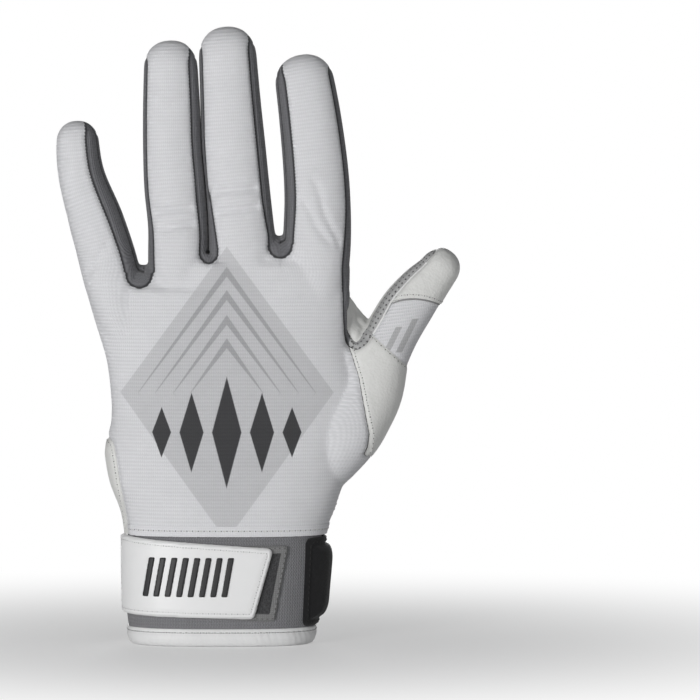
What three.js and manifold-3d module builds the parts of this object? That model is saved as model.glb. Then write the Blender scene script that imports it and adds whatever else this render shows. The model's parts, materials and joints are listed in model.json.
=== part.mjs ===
// A padded inner glove for the left hand, as sewn: knit back, leather palm, gussets, foam pads,
// elastic cuff and hook-and-loop strap. It stands on its hem, fingers up and slightly spread.
// Lengths are millimetres: +X is the thumb side, +Y the palm side and +Z the fingertips.
import * as THREE from 'three';
import { mergeVertices } from 'three/addons/utils/BufferGeometryUtils.js';
import Module from 'manifold-3d';

const wasm = await Module();
wasm.setup();

// Sewn wall
const wall = 1.4; // shell material with its lining
const seam = 0.3; // between two pieces sewn edge to edge
const padRise = 1.7; // how far a foam pad lifts the leather
const padLeather = 0.9; // leather over a foam pad
const overrun = 6; // how far a cutter runs past what it cuts

// Facets
const limbSides = 12;
const handSides = 22;
const domeRings = 3;
const limbRings = 4;
const cornerFacets = 1;
const outlineFacets = 2;
const domeFullness = 0.85;
const tipShare = 0.18;
const searchSteps = 400;
const halvings = 30;
const mergeDistance = 1e-4;
const weldDistance = 0.02;
const thinFace = 0.002;

// Cuff, heights from the floor
const hemTop = 6.6;
const elasticTop = 43.6;
const handBottom = elasticTop + seam;

// Cuff sections from the floor up: height, pinky side, thumb side, back and palm faces
const cuffSections = [
  [0, -36.4, 32.8, -20.8, 21.2],
  [hemTop, -37.6, 34.2, -21.4, 21.8],
  [25, -38.6, 36.2, -21.8, 22.4],
  [elasticTop, -38.9, 37.8, -21.6, 23],
];
const elasticThickness = 1.6;
const hemThickness = 2.6;
const hemStand = 0.5; // the hem's fold outside the elastic
const strap = { thickness: 2, low: 11.4, high: 42, lowEnd: 10.8, highEnd: 18, endHigh: 38, topEnd: 14.6 };
const strapSeam = -3; // the strap and its patch are sewn on at the pinky side, up to here
const patch = { thickness: 1.2, low: 9.4, high: 40.8, end: 24.8 };
const sidePad = { thickness: 4.2, low: 7.4, high: 41.2, back: -16.4, palm: 15.4, corner: 6 };
const grip = { thickness: 0.7, rise: 0.7, left: -30, right: 3, low: 19.4, high: 34.6, ribs: 8, ribShare: 0.55 };
const tab = { x: -4.8, width: 38, tipWidth: 26, thickness: 2.6, taperEnd: 9 };
const tabRun = [[24.4, 37.4], [24.3, 24], [25.6, 12.4], [29.8, 5.2], [35.6, 2.4], [40.4, 2]];
const tabSteps = 9;

// Hand sections from the wrist up: height, pinky side, thumb side, back and palm faces
const handSections = [
  [handBottom, -39.3, 38.8, -22, 23.4],
  [52, -40.8, 42, -21.2, 24],
  [62, -44.6, 44.8, -19.6, 24.2],
  [73, -46.6, 45.6, -17.4, 23],
  [86, -44.4, 44.6, -15, 20],
  [104, -45.2, 44, -13.2, 17],
  [120, -49.4, 45.6, -12.6, 15],
  [136.7, -54.2, 48, -12.2, 13.2],
];
const knuckleSections = [
  [133.6, -31, 47.4, -12.1, 13.2],
  [146.7, -30.2, 47.8, -11.7, 12.4],
];
const handRoundness = 2.7;
const limbRoundness = 2.3;

// Fingers and thumb. Each stop on the centre line is x, y, z, half width, half depth.
const limbs = {
  pinky: {
    stops: [[-41.3, 0.4, 130, 10.3, 11.6], [-42.9, 0.4, 137.1, 10.9, 11.6], [-49.4, 0.8, 161, 10.6, 10.8],
      [-55.8, 2, 181, 8.9, 9.8], [-57.7, 3.4, 201, 7.9, 8.6]],
    dome: 9, rootHeight: 137.1, bendHeight: 168.5,
  },
  ring: {
    stops: [[-19, 0.4, 140, 10.8, 12], [-19.3, 0.4, 147, 10.8, 11.9], [-20.9, 0.9, 176, 10.4, 11],
      [-21.8, 1.9, 205, 10.4, 10.4], [-21.3, 3.4, 231.8, 10, 9.4]],
    dome: 11, rootHeight: 147, bendHeight: 186,
  },
  middle: {
    stops: [[7.2, 0.4, 140, 13.2, 12.2], [6.8, 0.4, 147, 13.2, 12], [3.5, 0.9, 176, 12.8, 11.2],
      [1.6, 1.9, 206, 12.3, 10.6], [-0.1, 3.4, 237.2, 11.2, 9.6]],
    dome: 12, rootHeight: 147, bendHeight: 188.5,
  },
  index: {
    stops: [[34.4, 0.4, 140, 12.9, 12.2], [34.7, 0.4, 147, 12.9, 12], [35.1, 0.9, 173, 12.7, 11.2],
      [32.5, 1.9, 201, 12, 10.6], [28.6, 3.4, 226.4, 10.9, 9.6]],
    dome: 11.5, rootHeight: 147, bendHeight: 183.5,
  },
  thumb: {
    stops: [[26, 3, 56, 8, 12], [37, 3.6, 69, 12, 15], [46, 4.4, 82, 14.2, 16.5], [55.6, 5.4, 96.5, 13, 14],
      [62.2, 6.2, 110.6, 9.8, 11.4], [71.2, 7.2, 126, 9.9, 10.4], [84.2, 8.4, 151.4, 8.4, 9.2]],
    dome: 8,
  },
};
// Half of a cutter that takes all on its side: as far as the glove is tall
const beyond = Math.max(...Object.values(limbs).map(({ stops }) => stops.at(-1)[2]));
const thumbRoot = { x: 61, z: 110.4 };
const thumbBend = { x: 69.4, z: 121.6 };
const capReach = { x: 4.5, z: 9.6 }; // from the bend to the edge of the cap
const capEdge = { x: thumbBend.x + capReach.x, z: thumbBend.z + capReach.z };

// Seams on the fingers, measured from the centre line towards the palm
const gusset = { back: -5, palm: 5, tipStop: 12, taperShare: 0.55 };
const thumbStrip = { back: -6.6, palm: 0.6, tipStop: 7, taperShare: 0.55 };
const thumbSeam = 0.3;
const handSeam = 1.6;
const web = { halfWidth: 4.2, depth: 5.6, halfDepth: 6.4 };
const webs = { pinky_ring_web: [-31.2, 137.1], ring_middle_web: [-7.4, 147], middle_index_web: [20.9, 147] };

// The knit panel's edge on the thumb side and the gore at the pinky side of the wrist
const knitEdge = [[47.6, 130], [47.4, 114.7], [51.2, 102.4], [53.9, 88.9], [55.4, 80.8], [53.1, 72.4]];
const gore = { edge: -39.4, top: 79 };
const crotchGusset = { from: 43.4, bottom: 115.4, back: -5, palm: 5 };

// Foam pads: place on the limb's centre line, width and length
const fingerPads = {
  index: { lower: [164.6, 16.4, 21, 5.4], upper: [203, 17, 32, 8.2] },
  middle: { lower: [166.6, 16, 22, 5.4], upper: [210.6, 17.6, 36, 8.4] },
  ring: { lower: [165.2, 15, 20.6, 5], upper: [207, 15.4, 34, 7.4] },
  pinky: { lower: [152.4, 14, 17.6, 4.8] },
};
const palmPad = [[26.6, 140.6], [-6.9, 136.3], [-12.4, 127.6], [-14.2, 115.4], [-10.6, 108.6], [4, 98.2],
  [12.6, 96.4], [20.4, 100.2], [31.6, 110.8], [36.6, 119.4]];

// Materials
const finish = (color, roughness) => new THREE.MeshStandardMaterial({ color, roughness, metalness: 0 });
const palette = {
  knit: finish('#bdbdbf', 0.85),
  leather: finish('#dcdbd8', 0.55),
  fourchette: finish('#4c4c4f', 0.85),
  mesh: finish('#98989a', 0.85),
  elastic: finish('#6e6e72', 0.9),
  binding: finish('#e2e2e0', 0.8),
  strap: finish('#e4e4e4', 0.5),
  hook: finish('#3a3a3c', 0.9),
  rubber: finish('#212124', 0.6),
  webbing: finish('#121216', 0.85),
  foam: finish('#d8cfae', 0.9),
};

const glove = new THREE.Group();
const up = new THREE.Vector3(0, 0, 1);
const palmward = new THREE.Vector3(0, 1, 0);

// Solids

function solidFrom(geometry) {
  const bare = geometry.clone();
  for (const name of Object.keys(bare.attributes)) {
    if (name !== 'position') {
      bare.deleteAttribute(name);
    }
  }
  const merged = mergeVertices(bare, mergeDistance);
  return new wasm.Manifold(new wasm.Mesh({
    numProp: 3,
    vertProperties: new Float32Array(merged.attributes.position.array),
    triVerts: new Uint32Array(merged.index.array),
  }));
}

// The faces of a cut solid with points nearer than the weld distance joined into one.
function weldedFaces({ vertProperties, triVerts }) {
  const points = Array.from({ length: vertProperties.length / 3 }, (_, i) => (
    new THREE.Vector3().fromArray(vertProperties, 3 * i)));
  const joined = points.map((_, i) => i);
  const root = (i) => (joined[i] === i ? i : root(joined[i]));
  const faces = Array.from({ length: triVerts.length / 3 }, (_, i) => [...triVerts.slice(3 * i, 3 * i + 3)]);
  for (const face of faces) {
    face.forEach((corner, k) => {
      const a = root(corner);
      const b = root(face[(k + 1) % 3]);
      if (a !== b && points[a].distanceTo(points[b]) < weldDistance) {
        joined[b] = a;
      }
    });
  }
  return { points, faces: faces.map((face) => face.map(root)).filter((face) => new Set(face).size === 3) };
}

// Turns the longest edge of every face that is too thin to keep, so that both faces beside it are wide enough.
function turnThinFaces({ points, faces }) {
  const owners = new Map();
  const edges = (face) => face.map((corner, k) => `${corner}_${face[(k + 1) % 3]}`);
  faces.forEach((face, i) => edges(face).forEach((edge) => owners.set(edge, i)));
  const span = (a, b) => points[a].distanceTo(points[b]);
  faces.forEach((face, i) => {
    const spans = face.map((corner, k) => span(corner, face[(k + 1) % 3]));
    const k = spans.indexOf(Math.max(...spans));
    const [a, b, c] = [face[k], face[(k + 1) % 3], face[(k + 2) % 3]];
    const normal = points[b].clone().sub(points[a]).cross(points[c].clone().sub(points[a]));
    const neighbour = owners.get(`${b}_${a}`);
    if (normal.length() / spans[k] > thinFace || neighbour === undefined) {
      return;
    }
    const d = faces[neighbour].find((corner) => corner !== a && corner !== b);
    if (owners.has(`${c}_${d}`) || owners.has(`${d}_${c}`)) {
      return;
    }
    owners.delete(`${a}_${b}`);
    owners.delete(`${b}_${a}`);
    faces[i] = [a, d, c];
    faces[neighbour] = [d, b, c];
    edges(faces[i]).forEach((edge) => owners.set(edge, i));
    edges(faces[neighbour]).forEach((edge) => owners.set(edge, neighbour));
  });
  return { points, faces };
}

function sew(name, solid, material) {
  const { points, faces } = turnThinFaces(weldedFaces(solid.getMesh()));
  const geometry = new THREE.BufferGeometry().setFromPoints(points);
  geometry.setIndex(faces.flat());
  geometry.computeVertexNormals();
  const mesh = new THREE.Mesh(geometry, material);
  mesh.name = name;
  glove.add(mesh);
}

// A closed skin through equal rings of points, with both ends capped.
function skin(rings) {
  const count = rings[0].length;
  const points = rings.flat();
  const faces = [];
  for (let r = 0; r + 1 < rings.length; r += 1) {
    for (let i = 0; i < count; i += 1) {
      const a = r * count + i;
      const b = r * count + ((i + 1) % count);
      faces.push(a, b, b + count, a, b + count, a + count);
    }
  }
  const first = points.push(middleOf(rings[0])) - 1;
  const last = points.push(middleOf(rings.at(-1))) - 1;
  const top = (rings.length - 1) * count;
  for (let i = 0; i < count; i += 1) {
    const next = (i + 1) % count;
    faces.push(first, next, i, last, top + i, top + next);
  }
  const geometry = new THREE.BufferGeometry().setFromPoints(points);
  geometry.setIndex(faces);
  return solidFrom(geometry);
}

function middleOf(ring) {
  return ring.reduce((sum, point) => sum.add(point), new THREE.Vector3()).divideScalar(ring.length);
}

// A rounded-square ring: lateral and palm axes carry the half width and half depth.
function roundRing(centre, lateral, front, halfWidth, halfDepth, roundness, sides) {
  const ring = [];
  for (let i = 0; i < sides; i += 1) {
    const angle = (2 * Math.PI * i) / sides;
    const across = Math.sign(Math.cos(angle)) * Math.abs(Math.cos(angle)) ** (2 / roundness);
    const out = Math.sign(Math.sin(angle)) * Math.abs(Math.sin(angle)) ** (2 / roundness);
    ring.push(centre.clone().addScaledVector(lateral, across * halfWidth).addScaledVector(front, out * halfDepth));
  }
  return ring;
}

// A body through level sections, each given by its height and its four faces, grown by an offset.
function sectionBody(sections, offset, below = 0, above = offset) {
  const level = ([z, left, right, back, palm]) => roundRing(
    new THREE.Vector3((left + right) / 2, (back + palm) / 2, z),
    new THREE.Vector3(1, 0, 0), palmward,
    (right - left) / 2 + offset, (palm - back) / 2 + offset, handRoundness, handSides,
  );
  const rings = sections.map(level);
  rings[0].forEach((point) => { point.z -= below; });
  rings.at(-1).forEach((point) => { point.z += above; });
  return skin(rings);
}

// Limbs: fingers and thumb

function limbCurves({ stops, dome }) {
  const centre = new THREE.CatmullRomCurve3(stops.map(([x, y, z]) => new THREE.Vector3(x, y, z)));
  const size = new THREE.CatmullRomCurve3(stops.map(([, , , w, d]) => new THREE.Vector3(w, d, 0)));
  return { centre, size, domeShare: 1 - dome / centre.getLength(), dome };
}

function frameAt(curves, share) {
  const along = curves.centre.getTangentAt(share);
  const lateral = new THREE.Vector3().crossVectors(palmward, along).normalize();
  const front = new THREE.Vector3().crossVectors(along, lateral);
  const size = curves.size.getPoint(curves.centre.getUtoTmapping(share));
  return { origin: curves.centre.getPointAt(share), along, lateral, front, size };
}

function limbBody(curves, offset) {
  const rings = [];
  for (let i = 0; i <= limbRings; i += 1) {
    const at = frameAt(curves, (curves.domeShare * i) / limbRings);
    rings.push(roundRing(at.origin, at.lateral, at.front, at.size.x + offset, at.size.y + offset,
      limbRoundness, limbSides));
  }
  const base = frameAt(curves, curves.domeShare);
  for (let i = 1; i < domeRings; i += 1) {
    const angle = (Math.PI * i) / (2 * domeRings);
    const shrink = Math.cos(angle) ** domeFullness;
    const centre = base.origin.clone().addScaledVector(base.along, (curves.dome + offset) * Math.sin(angle));
    rings.push(roundRing(centre, base.lateral, base.front, (base.size.x + offset) * shrink,
      (base.size.y + offset) * shrink, limbRoundness, limbSides));
  }
  const nearTip = base.origin.clone().addScaledVector(base.along, curves.dome + offset);
  rings.push(roundRing(nearTip, base.lateral, base.front, base.size.x * tipShare, base.size.y * tipShare,
    limbRoundness, limbSides));
  return skin(rings);
}

// The share of the centre line whose plane passes nearest to a point of the hand's plane.
function shareNear(curves, x, z) {
  let best = 0;
  let least = Infinity;
  for (let i = 0; i <= searchSteps; i += 1) {
    const point = curves.centre.getPointAt(i / searchSteps);
    const distance = Math.hypot((point.x - x), point.z - z);
    if (distance < least) {
      least = distance;
      best = i / searchSteps;
    }
  }
  return best;
}

function shareAtHeight(curves, height) {
  let low = 0;
  let high = 1;
  for (let i = 0; i < halvings; i += 1) {
    const middle = (low + high) / 2;
    if (curves.centre.getPointAt(middle).z < height) {
      low = middle;
    } else {
      high = middle;
    }
  }
  return (low + high) / 2;
}

// Cutters

const worldFrame = {
  origin: new THREE.Vector3(),
  lateral: new THREE.Vector3(1, 0, 0),
  along: up,
  front: palmward,
};

function facePrism(shape, frame, frontOnly = false) {
  const geometry = new THREE.ExtrudeGeometry(shape, {
    depth: frontOnly ? beyond : 2 * beyond, bevelEnabled: false, curveSegments: cornerFacets,
  });
  geometry.translate(0, 0, -beyond);
  const back = frame.front.clone().negate();
  geometry.applyMatrix4(new THREE.Matrix4().makeBasis(frame.lateral, frame.along, back).setPosition(frame.origin));
  return solidFrom(geometry);
}

// A prism along the lateral axis; its outline is given as palmward and along the limb.
function sidePrism(outline, frame) {
  const shape = new THREE.Shape(outline.map(([out, along]) => new THREE.Vector2(out, along)));
  const geometry = new THREE.ExtrudeGeometry(shape, { depth: 2 * beyond, bevelEnabled: false });
  geometry.translate(0, 0, -beyond);
  geometry.applyMatrix4(
    new THREE.Matrix4().makeBasis(frame.front, frame.along, frame.lateral).setPosition(frame.origin),
  );
  return solidFrom(geometry);
}

function outlineOf(points) {
  return new THREE.Shape(points.map(([x, z]) => new THREE.Vector2(x, z)));
}

function rectangle(left, right, low, high) {
  return [[left, low], [right, low], [right, high], [left, high]];
}

function roundedRectangle(width, length, corner) {
  const shape = new THREE.Shape();
  const x = width / 2;
  const y = length / 2;
  shape.moveTo(-x + corner, -y);
  shape.lineTo(x - corner, -y).absarc(x - corner, -y + corner, corner, -Math.PI / 2, 0);
  shape.lineTo(x, y - corner).absarc(x - corner, y - corner, corner, 0, Math.PI / 2);
  shape.lineTo(-x + corner, y).absarc(-x + corner, y - corner, corner, Math.PI / 2, Math.PI);
  shape.lineTo(-x, -y + corner).absarc(-x + corner, -y + corner, corner, Math.PI, 1.5 * Math.PI);
  return shape;
}

// Everything on the far side of a plane across a limb, moved along it by a shift.
function past(frame, shift) {
  return facePrism(outlineOf(rectangle(-beyond, beyond, shift, 2 * beyond)), frame);
}

function palmSide(frame, from) {
  return sidePrism(rectangle(from, 2 * beyond, -2 * beyond, 2 * beyond), frame);
}

function backSide(frame, to) {
  return sidePrism(rectangle(-2 * beyond, to, -2 * beyond, 2 * beyond), frame);
}

function lateralSide(frame, side) {
  const x = side > 0 ? [0, 2 * beyond] : [-2 * beyond, 0];
  return facePrism(outlineOf(rectangle(x[0], x[1], -2 * beyond, 2 * beyond)), frame);
}

// The long tapering slab that a side gusset fills: parallel from the root, closing at the tip.
function gussetSlab(frame, { back, palm, tipStop, taperShare }, length, margin) {
  const meet = (back + palm) / 2;
  return sidePrism([
    [back + margin, -beyond], [palm - margin, -beyond], [palm - margin, length * taperShare],
    [meet, length - tipStop - margin], [back + margin, length * taperShare],
  ], frame);
}

function insetShape(points, distance) {
  const centre = points.reduce(([x, y], [px, py]) => [x + px / points.length, y + py / points.length], [0, 0]);
  return points.map(([x, y]) => {
    const reach = Math.hypot(x - centre[0], y - centre[1]);
    const keep = (reach - distance) / reach;
    return [centre[0] + (x - centre[0]) * keep, centre[1] + (y - centre[1]) * keep];
  });
}

function smoothOutline(points) {
  const curve = new THREE.SplineCurve([...points, points[0]].map(([x, y]) => new THREE.Vector2(x, y)));
  const dense = curve.getPoints(points.length * outlineFacets).slice(0, -1);
  return new THREE.Shape(dense);
}

// The bulge of the leather over a foam pad, the pocket behind it, and the foam flush with the inner wall.
function padForms(bodyAt, prismAt) {
  const foamTop = padRise - padLeather - seam;
  return {
    bulge: bodyAt(padRise).intersect(prismAt(0)),
    pocket: bodyAt(padRise - padLeather).intersect(prismAt(padLeather)),
    foam: bodyAt(foamTop).intersect(prismAt(padLeather + seam)).subtract(bodyAt(-wall)),
  };
}

// Fingers

const handRoots = [];

function makeFinger(name) {
  const limb = limbs[name];
  const curves = limbCurves(limb);
  const bodyAt = (offset) => limbBody(curves, offset);
  let outer = bodyAt(0);
  let inner = bodyAt(-wall);
  const root = frameAt(curves, shareAtHeight(curves, limb.rootHeight));
  const level = { ...worldFrame, origin: root.origin };
  const bend = frameAt(curves, shareAtHeight(curves, limb.bendHeight));
  const tip = curves.centre.getPointAt(1);
  handRoots.push({ outer, inner, level });

  for (const [part, [height, width, length, corner]] of Object.entries(fingerPads[name])) {
    const place = frameAt(curves, shareAtHeight(curves, height));
    const { bulge, pocket, foam } = padForms(bodyAt, (inset) => facePrism(
      roundedRectangle(width - 2 * inset, length - 2 * inset, corner - inset), place, true,
    ));
    outer = outer.add(bulge);
    inner = inner.add(pocket);
    sew(`${name}_pad_${part}`, foam, palette.foam);
  }

  const shell = outer.subtract(inner);
  const stretches = {
    lower: shell.intersect(past(level, seam / 2)).subtract(past(bend, -seam / 2)),
    upper: shell.intersect(past(bend, seam / 2)),
  };
  const length = tip.clone().sub(bend.origin).dot(bend.along);
  const slab = (margin) => gussetSlab(bend, gusset, length, margin);
  const seamAt = (gusset.back + gusset.palm) / 2;
  const sidesWithGusset = name === 'pinky' ? [1] : [-1, 1];
  for (const [part, tube] of Object.entries(stretches)) {
    let rest = tube;
    for (const side of sidesWithGusset) {
      const sideName = side > 0 ? 'thumb_side' : 'pinky_side';
      const half = lateralSide(bend, side);
      sew(`${name}_fourchette_${sideName}_${part}`, tube.intersect(slab(seam / 2)).intersect(half),
        palette.fourchette);
      rest = rest.subtract(slab(-seam / 2).intersect(half));
    }
    sew(`${name}_back_${part}`, rest.intersect(backSide(bend, seamAt - seam / 2)), palette.knit);
    sew(`${name}_palm_${part}`, rest.intersect(palmSide(bend, seamAt + seam / 2)), palette.leather);
  }
}

for (const name of ['pinky', 'ring', 'middle', 'index']) {
  makeFinger(name);
}

// Thumb

const thumbCurves = limbCurves(limbs.thumb);
const thumbOuter = limbBody(thumbCurves, 0);
const thumbInner = limbBody(thumbCurves, -wall);
const thumbRootFrame = frameAt(thumbCurves, shareNear(thumbCurves, thumbRoot.x, thumbRoot.z));
const thumbBendFrame = frameAt(thumbCurves, shareNear(thumbCurves, thumbBend.x, thumbBend.z));
const capFrame = frameAt(thumbCurves, shareNear(thumbCurves, capEdge.x, capEdge.z));

function makeThumb() {
  const shell = thumbOuter.subtract(thumbInner);
  const tip = thumbCurves.centre.getPointAt(1);
  const length = tip.sub(thumbBendFrame.origin).dot(thumbBendFrame.along);
  const strip = (margin) => gussetSlab(thumbBendFrame, thumbStrip, length, margin)
    .intersect(lateralSide(thumbBendFrame, -1));
  const lower = shell.intersect(past(thumbRootFrame, seam / 2)).subtract(past(thumbBendFrame, -seam / 2));
  const upper = shell.intersect(past(thumbBendFrame, seam / 2));
  const back = (tube) => tube.subtract(strip(-seam / 2)).intersect(backSide(thumbBendFrame, thumbSeam - seam));
  const palm = (tube) => tube.subtract(strip(-seam / 2)).intersect(palmSide(thumbBendFrame, thumbSeam));
  sew('thumb_knuckle_knit_lower', back(lower), palette.knit);
  sew('thumb_knuckle_knit_upper', back(upper).subtract(past(capFrame, -seam / 2)), palette.knit);
  sew('thumb_cap', back(upper).intersect(past(capFrame, seam / 2)), palette.leather);
  sew('thumb_side_strip_lower', lower.intersect(strip(seam / 2)), palette.mesh);
  sew('thumb_side_strip_upper', upper.intersect(strip(seam / 2)), palette.mesh);
  sew('thumb_palm_lower', palm(lower), palette.leather);
  sew('thumb_palm_upper', palm(upper), palette.leather);
}

makeThumb();

// Hand

function handBody(offset) {
  const below = offset < 0 ? overrun : 0;
  let body = sectionBody(handSections, offset, below).add(sectionBody(knuckleSections, offset));
  for (const { outer, inner, level } of handRoots) {
    const finger = offset < 0 ? inner : outer;
    body = body.add(finger.subtract(past(level, offset < 0 ? overrun : -seam / 2)));
  }
  const thumb = offset < 0 ? thumbInner : thumbOuter;
  const cut = past(thumbRootFrame, offset < 0 ? overrun : -seam / 2);
  return body.add(thumb.subtract(cut));
}

function makeHand() {
  const plain = (offset) => sectionBody(handSections, offset, offset < 0 ? overrun : 0)
    .add(sectionBody(knuckleSections, offset));
  const { bulge, pocket, foam } = padForms(plain, (inset) => facePrism(
    smoothOutline(insetShape(palmPad, inset)), worldFrame, true,
  ));
  sew('palm_pad', foam, palette.foam);
  const shell = handBody(0).add(bulge).subtract(handBody(-wall).add(pocket)).intersect(
    facePrism(outlineOf(rectangle(-beyond, beyond, handBottom, beyond)), worldFrame),
  );
  let rest = shell;
  const box = (left, right, low, high, back, palm, margin = 0) => facePrism(
    outlineOf(rectangle(left - margin, right + margin, low - margin, high + margin)), worldFrame,
  ).intersect(sidePrism(rectangle(back - margin, palm + margin, -beyond, 2 * beyond), worldFrame));
  const taken = (name, material, ...sizes) => {
    sew(name, rest.intersect(box(...sizes)), material);
    rest = rest.subtract(box(...sizes, seam));
  };

  for (const [name, [x, z]] of Object.entries(webs)) {
    taken(name, palette.fourchette, x - web.halfWidth, x + web.halfWidth, z - web.depth, z + overrun,
      -web.halfDepth, web.halfDepth);
  }
  taken('thumb_crotch_gusset', palette.fourchette, crotchGusset.from, beyond, crotchGusset.bottom, beyond,
    crotchGusset.back, crotchGusset.palm);
  taken('wrist_gore', palette.leather, -beyond, gore.edge, 0, gore.top, -beyond, beyond);

  const knitOutline = [...knitEdge, [knitEdge.at(-1)[0] + overrun, handBottom - overrun],
    [-beyond, handBottom - overrun], [-beyond, beyond], [beyond, beyond], [beyond, knitEdge[0][1]]];
  const thumbOutline = [...knitEdge.map(([x, z]) => [x + seam, z]), [knitEdge.at(-1)[0] + overrun, handBottom],
    [beyond, handBottom], [beyond, knitEdge[0][1]]];
  const backHalf = backSide(worldFrame, handSeam - seam);
  sew('hand_back_knit', rest.intersect(backHalf).intersect(facePrism(outlineOf(knitOutline), worldFrame)),
    palette.knit);
  sew('thumb_base_leather', rest.intersect(backHalf).intersect(facePrism(outlineOf(thumbOutline), worldFrame)),
    palette.leather);
  sew('palm_leather', rest.intersect(palmSide(worldFrame, handSeam)), palette.leather);
}

makeHand();

// Cuff

function cuffBody(offset) {
  return sectionBody(cuffSections, offset, overrun, overrun);
}

function cuffRing(inner, outer, low, high) {
  const height = facePrism(outlineOf(rectangle(-beyond, beyond, low, high)), worldFrame);
  return cuffBody(outer).subtract(cuffBody(inner)).intersect(height);
}

function makeCuff() {
  sew('cuff_elastic', cuffRing(-elasticThickness, 0, hemTop + seam, elasticTop), palette.elastic);
  sew('hem_binding', cuffRing(hemStand - hemThickness, hemStand, 0, hemTop), palette.binding);
  const back = backSide(worldFrame, strapSeam);
  const patchOuter = seam + patch.thickness;
  const patchEdge = facePrism(outlineOf(rectangle(-beyond, patch.end, patch.low, patch.high)), worldFrame);
  sew('closure_patch', cuffRing(seam, patchOuter, patch.low, patch.high).intersect(back).intersect(patchEdge),
    palette.hook);
  const strapInner = patchOuter + seam;
  const strapOuter = strapInner + strap.thickness;
  const strapEdge = facePrism(outlineOf([
    [-beyond, strap.low], [strap.lowEnd, strap.low], [strap.highEnd, strap.endHigh], [strap.topEnd, strap.high],
    [-beyond, strap.high],
  ]), worldFrame);
  sew('strap', cuffRing(strapInner, strapOuter, 0, elasticTop).intersect(back).intersect(strapEdge),
    palette.strap);
  const gripInner = strapOuter + seam;
  const plate = cuffRing(gripInner, gripInner + grip.thickness, grip.low, grip.high);
  const pitch = (grip.right - grip.left) / grip.ribs;
  let ribs = null;
  for (let i = 0; i < grip.ribs; i += 1) {
    const left = grip.left + pitch * (i + (1 - grip.ribShare) / 2);
    const bar = facePrism(outlineOf(rectangle(left, left + pitch * grip.ribShare, grip.low, grip.high)), worldFrame);
    ribs = ribs ? ribs.add(bar) : bar;
  }
  const raised = cuffRing(gripInner, gripInner + grip.thickness + grip.rise, grip.low, grip.high).intersect(ribs);
  const gripEdge = facePrism(outlineOf(rectangle(grip.left, grip.right, grip.low, grip.high)), worldFrame);
  sew('strap_grip', plate.add(raised).intersect(gripEdge).intersect(back), palette.rubber);

  const padFrame = {
    ...worldFrame,
    origin: new THREE.Vector3(0, (sidePad.back + sidePad.palm) / 2, (sidePad.low + sidePad.high) / 2),
    lateral: palmward,
    front: new THREE.Vector3(-1, 0, 0),
  };
  const padShape = roundedRectangle(sidePad.palm - sidePad.back, sidePad.high - sidePad.low, sidePad.corner);
  const thumbHalf = facePrism(outlineOf(rectangle(0, beyond, -beyond, beyond)), worldFrame);
  sew('wrist_side_pad', cuffRing(seam, seam + sidePad.thickness, sidePad.low, sidePad.high)
    .intersect(facePrism(padShape, padFrame)).intersect(thumbHalf), palette.rubber);
}

// The ribbon's outline in the side plane, thick to both sides of its run.
function ribbonOutline(run, thickness, steps) {
  const curve = new THREE.SplineCurve(run.map(([y, z]) => new THREE.Vector2(y, z)));
  const side = (sign) => Array.from({ length: steps + 1 }, (_, i) => {
    const along = curve.getTangentAt(i / steps);
    const point = curve.getPointAt(i / steps);
    return [point.x - (sign * along.y * thickness) / 2, point.y + (sign * along.x * thickness) / 2];
  });
  return [...side(1), ...side(-1).reverse()];
}

function makeTab() {
  const ribbon = sidePrism(ribbonOutline(tabRun, tab.thickness, tabSteps), worldFrame);
  const half = tab.width / 2;
  const tipHalf = tab.tipWidth / 2;
  const [, top] = tabRun[0];
  const taper = facePrism(outlineOf([[tab.x - tipHalf, 0], [tab.x + tipHalf, 0], [tab.x + tipHalf, tab.taperEnd],
    [tab.x + half, top + overrun], [tab.x - half, top + overrun], [tab.x - tipHalf, tab.taperEnd]]), worldFrame);
  sew('pull_tab', ribbon.intersect(taper), palette.webbing);
}

makeCuff();
makeTab();

// The origin is the middle of the whole glove's footprint, on the plane that the hem stands on.
const bounds = new THREE.Box3().setFromObject(glove);
const middle = bounds.getCenter(new THREE.Vector3());
glove.position.set(-middle.x, -middle.y, -bounds.min.z);

export default glove;
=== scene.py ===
"""A padded left inner glove: knit back, leather palm, side gussets, pads, elastic cuff and strap."""

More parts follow.
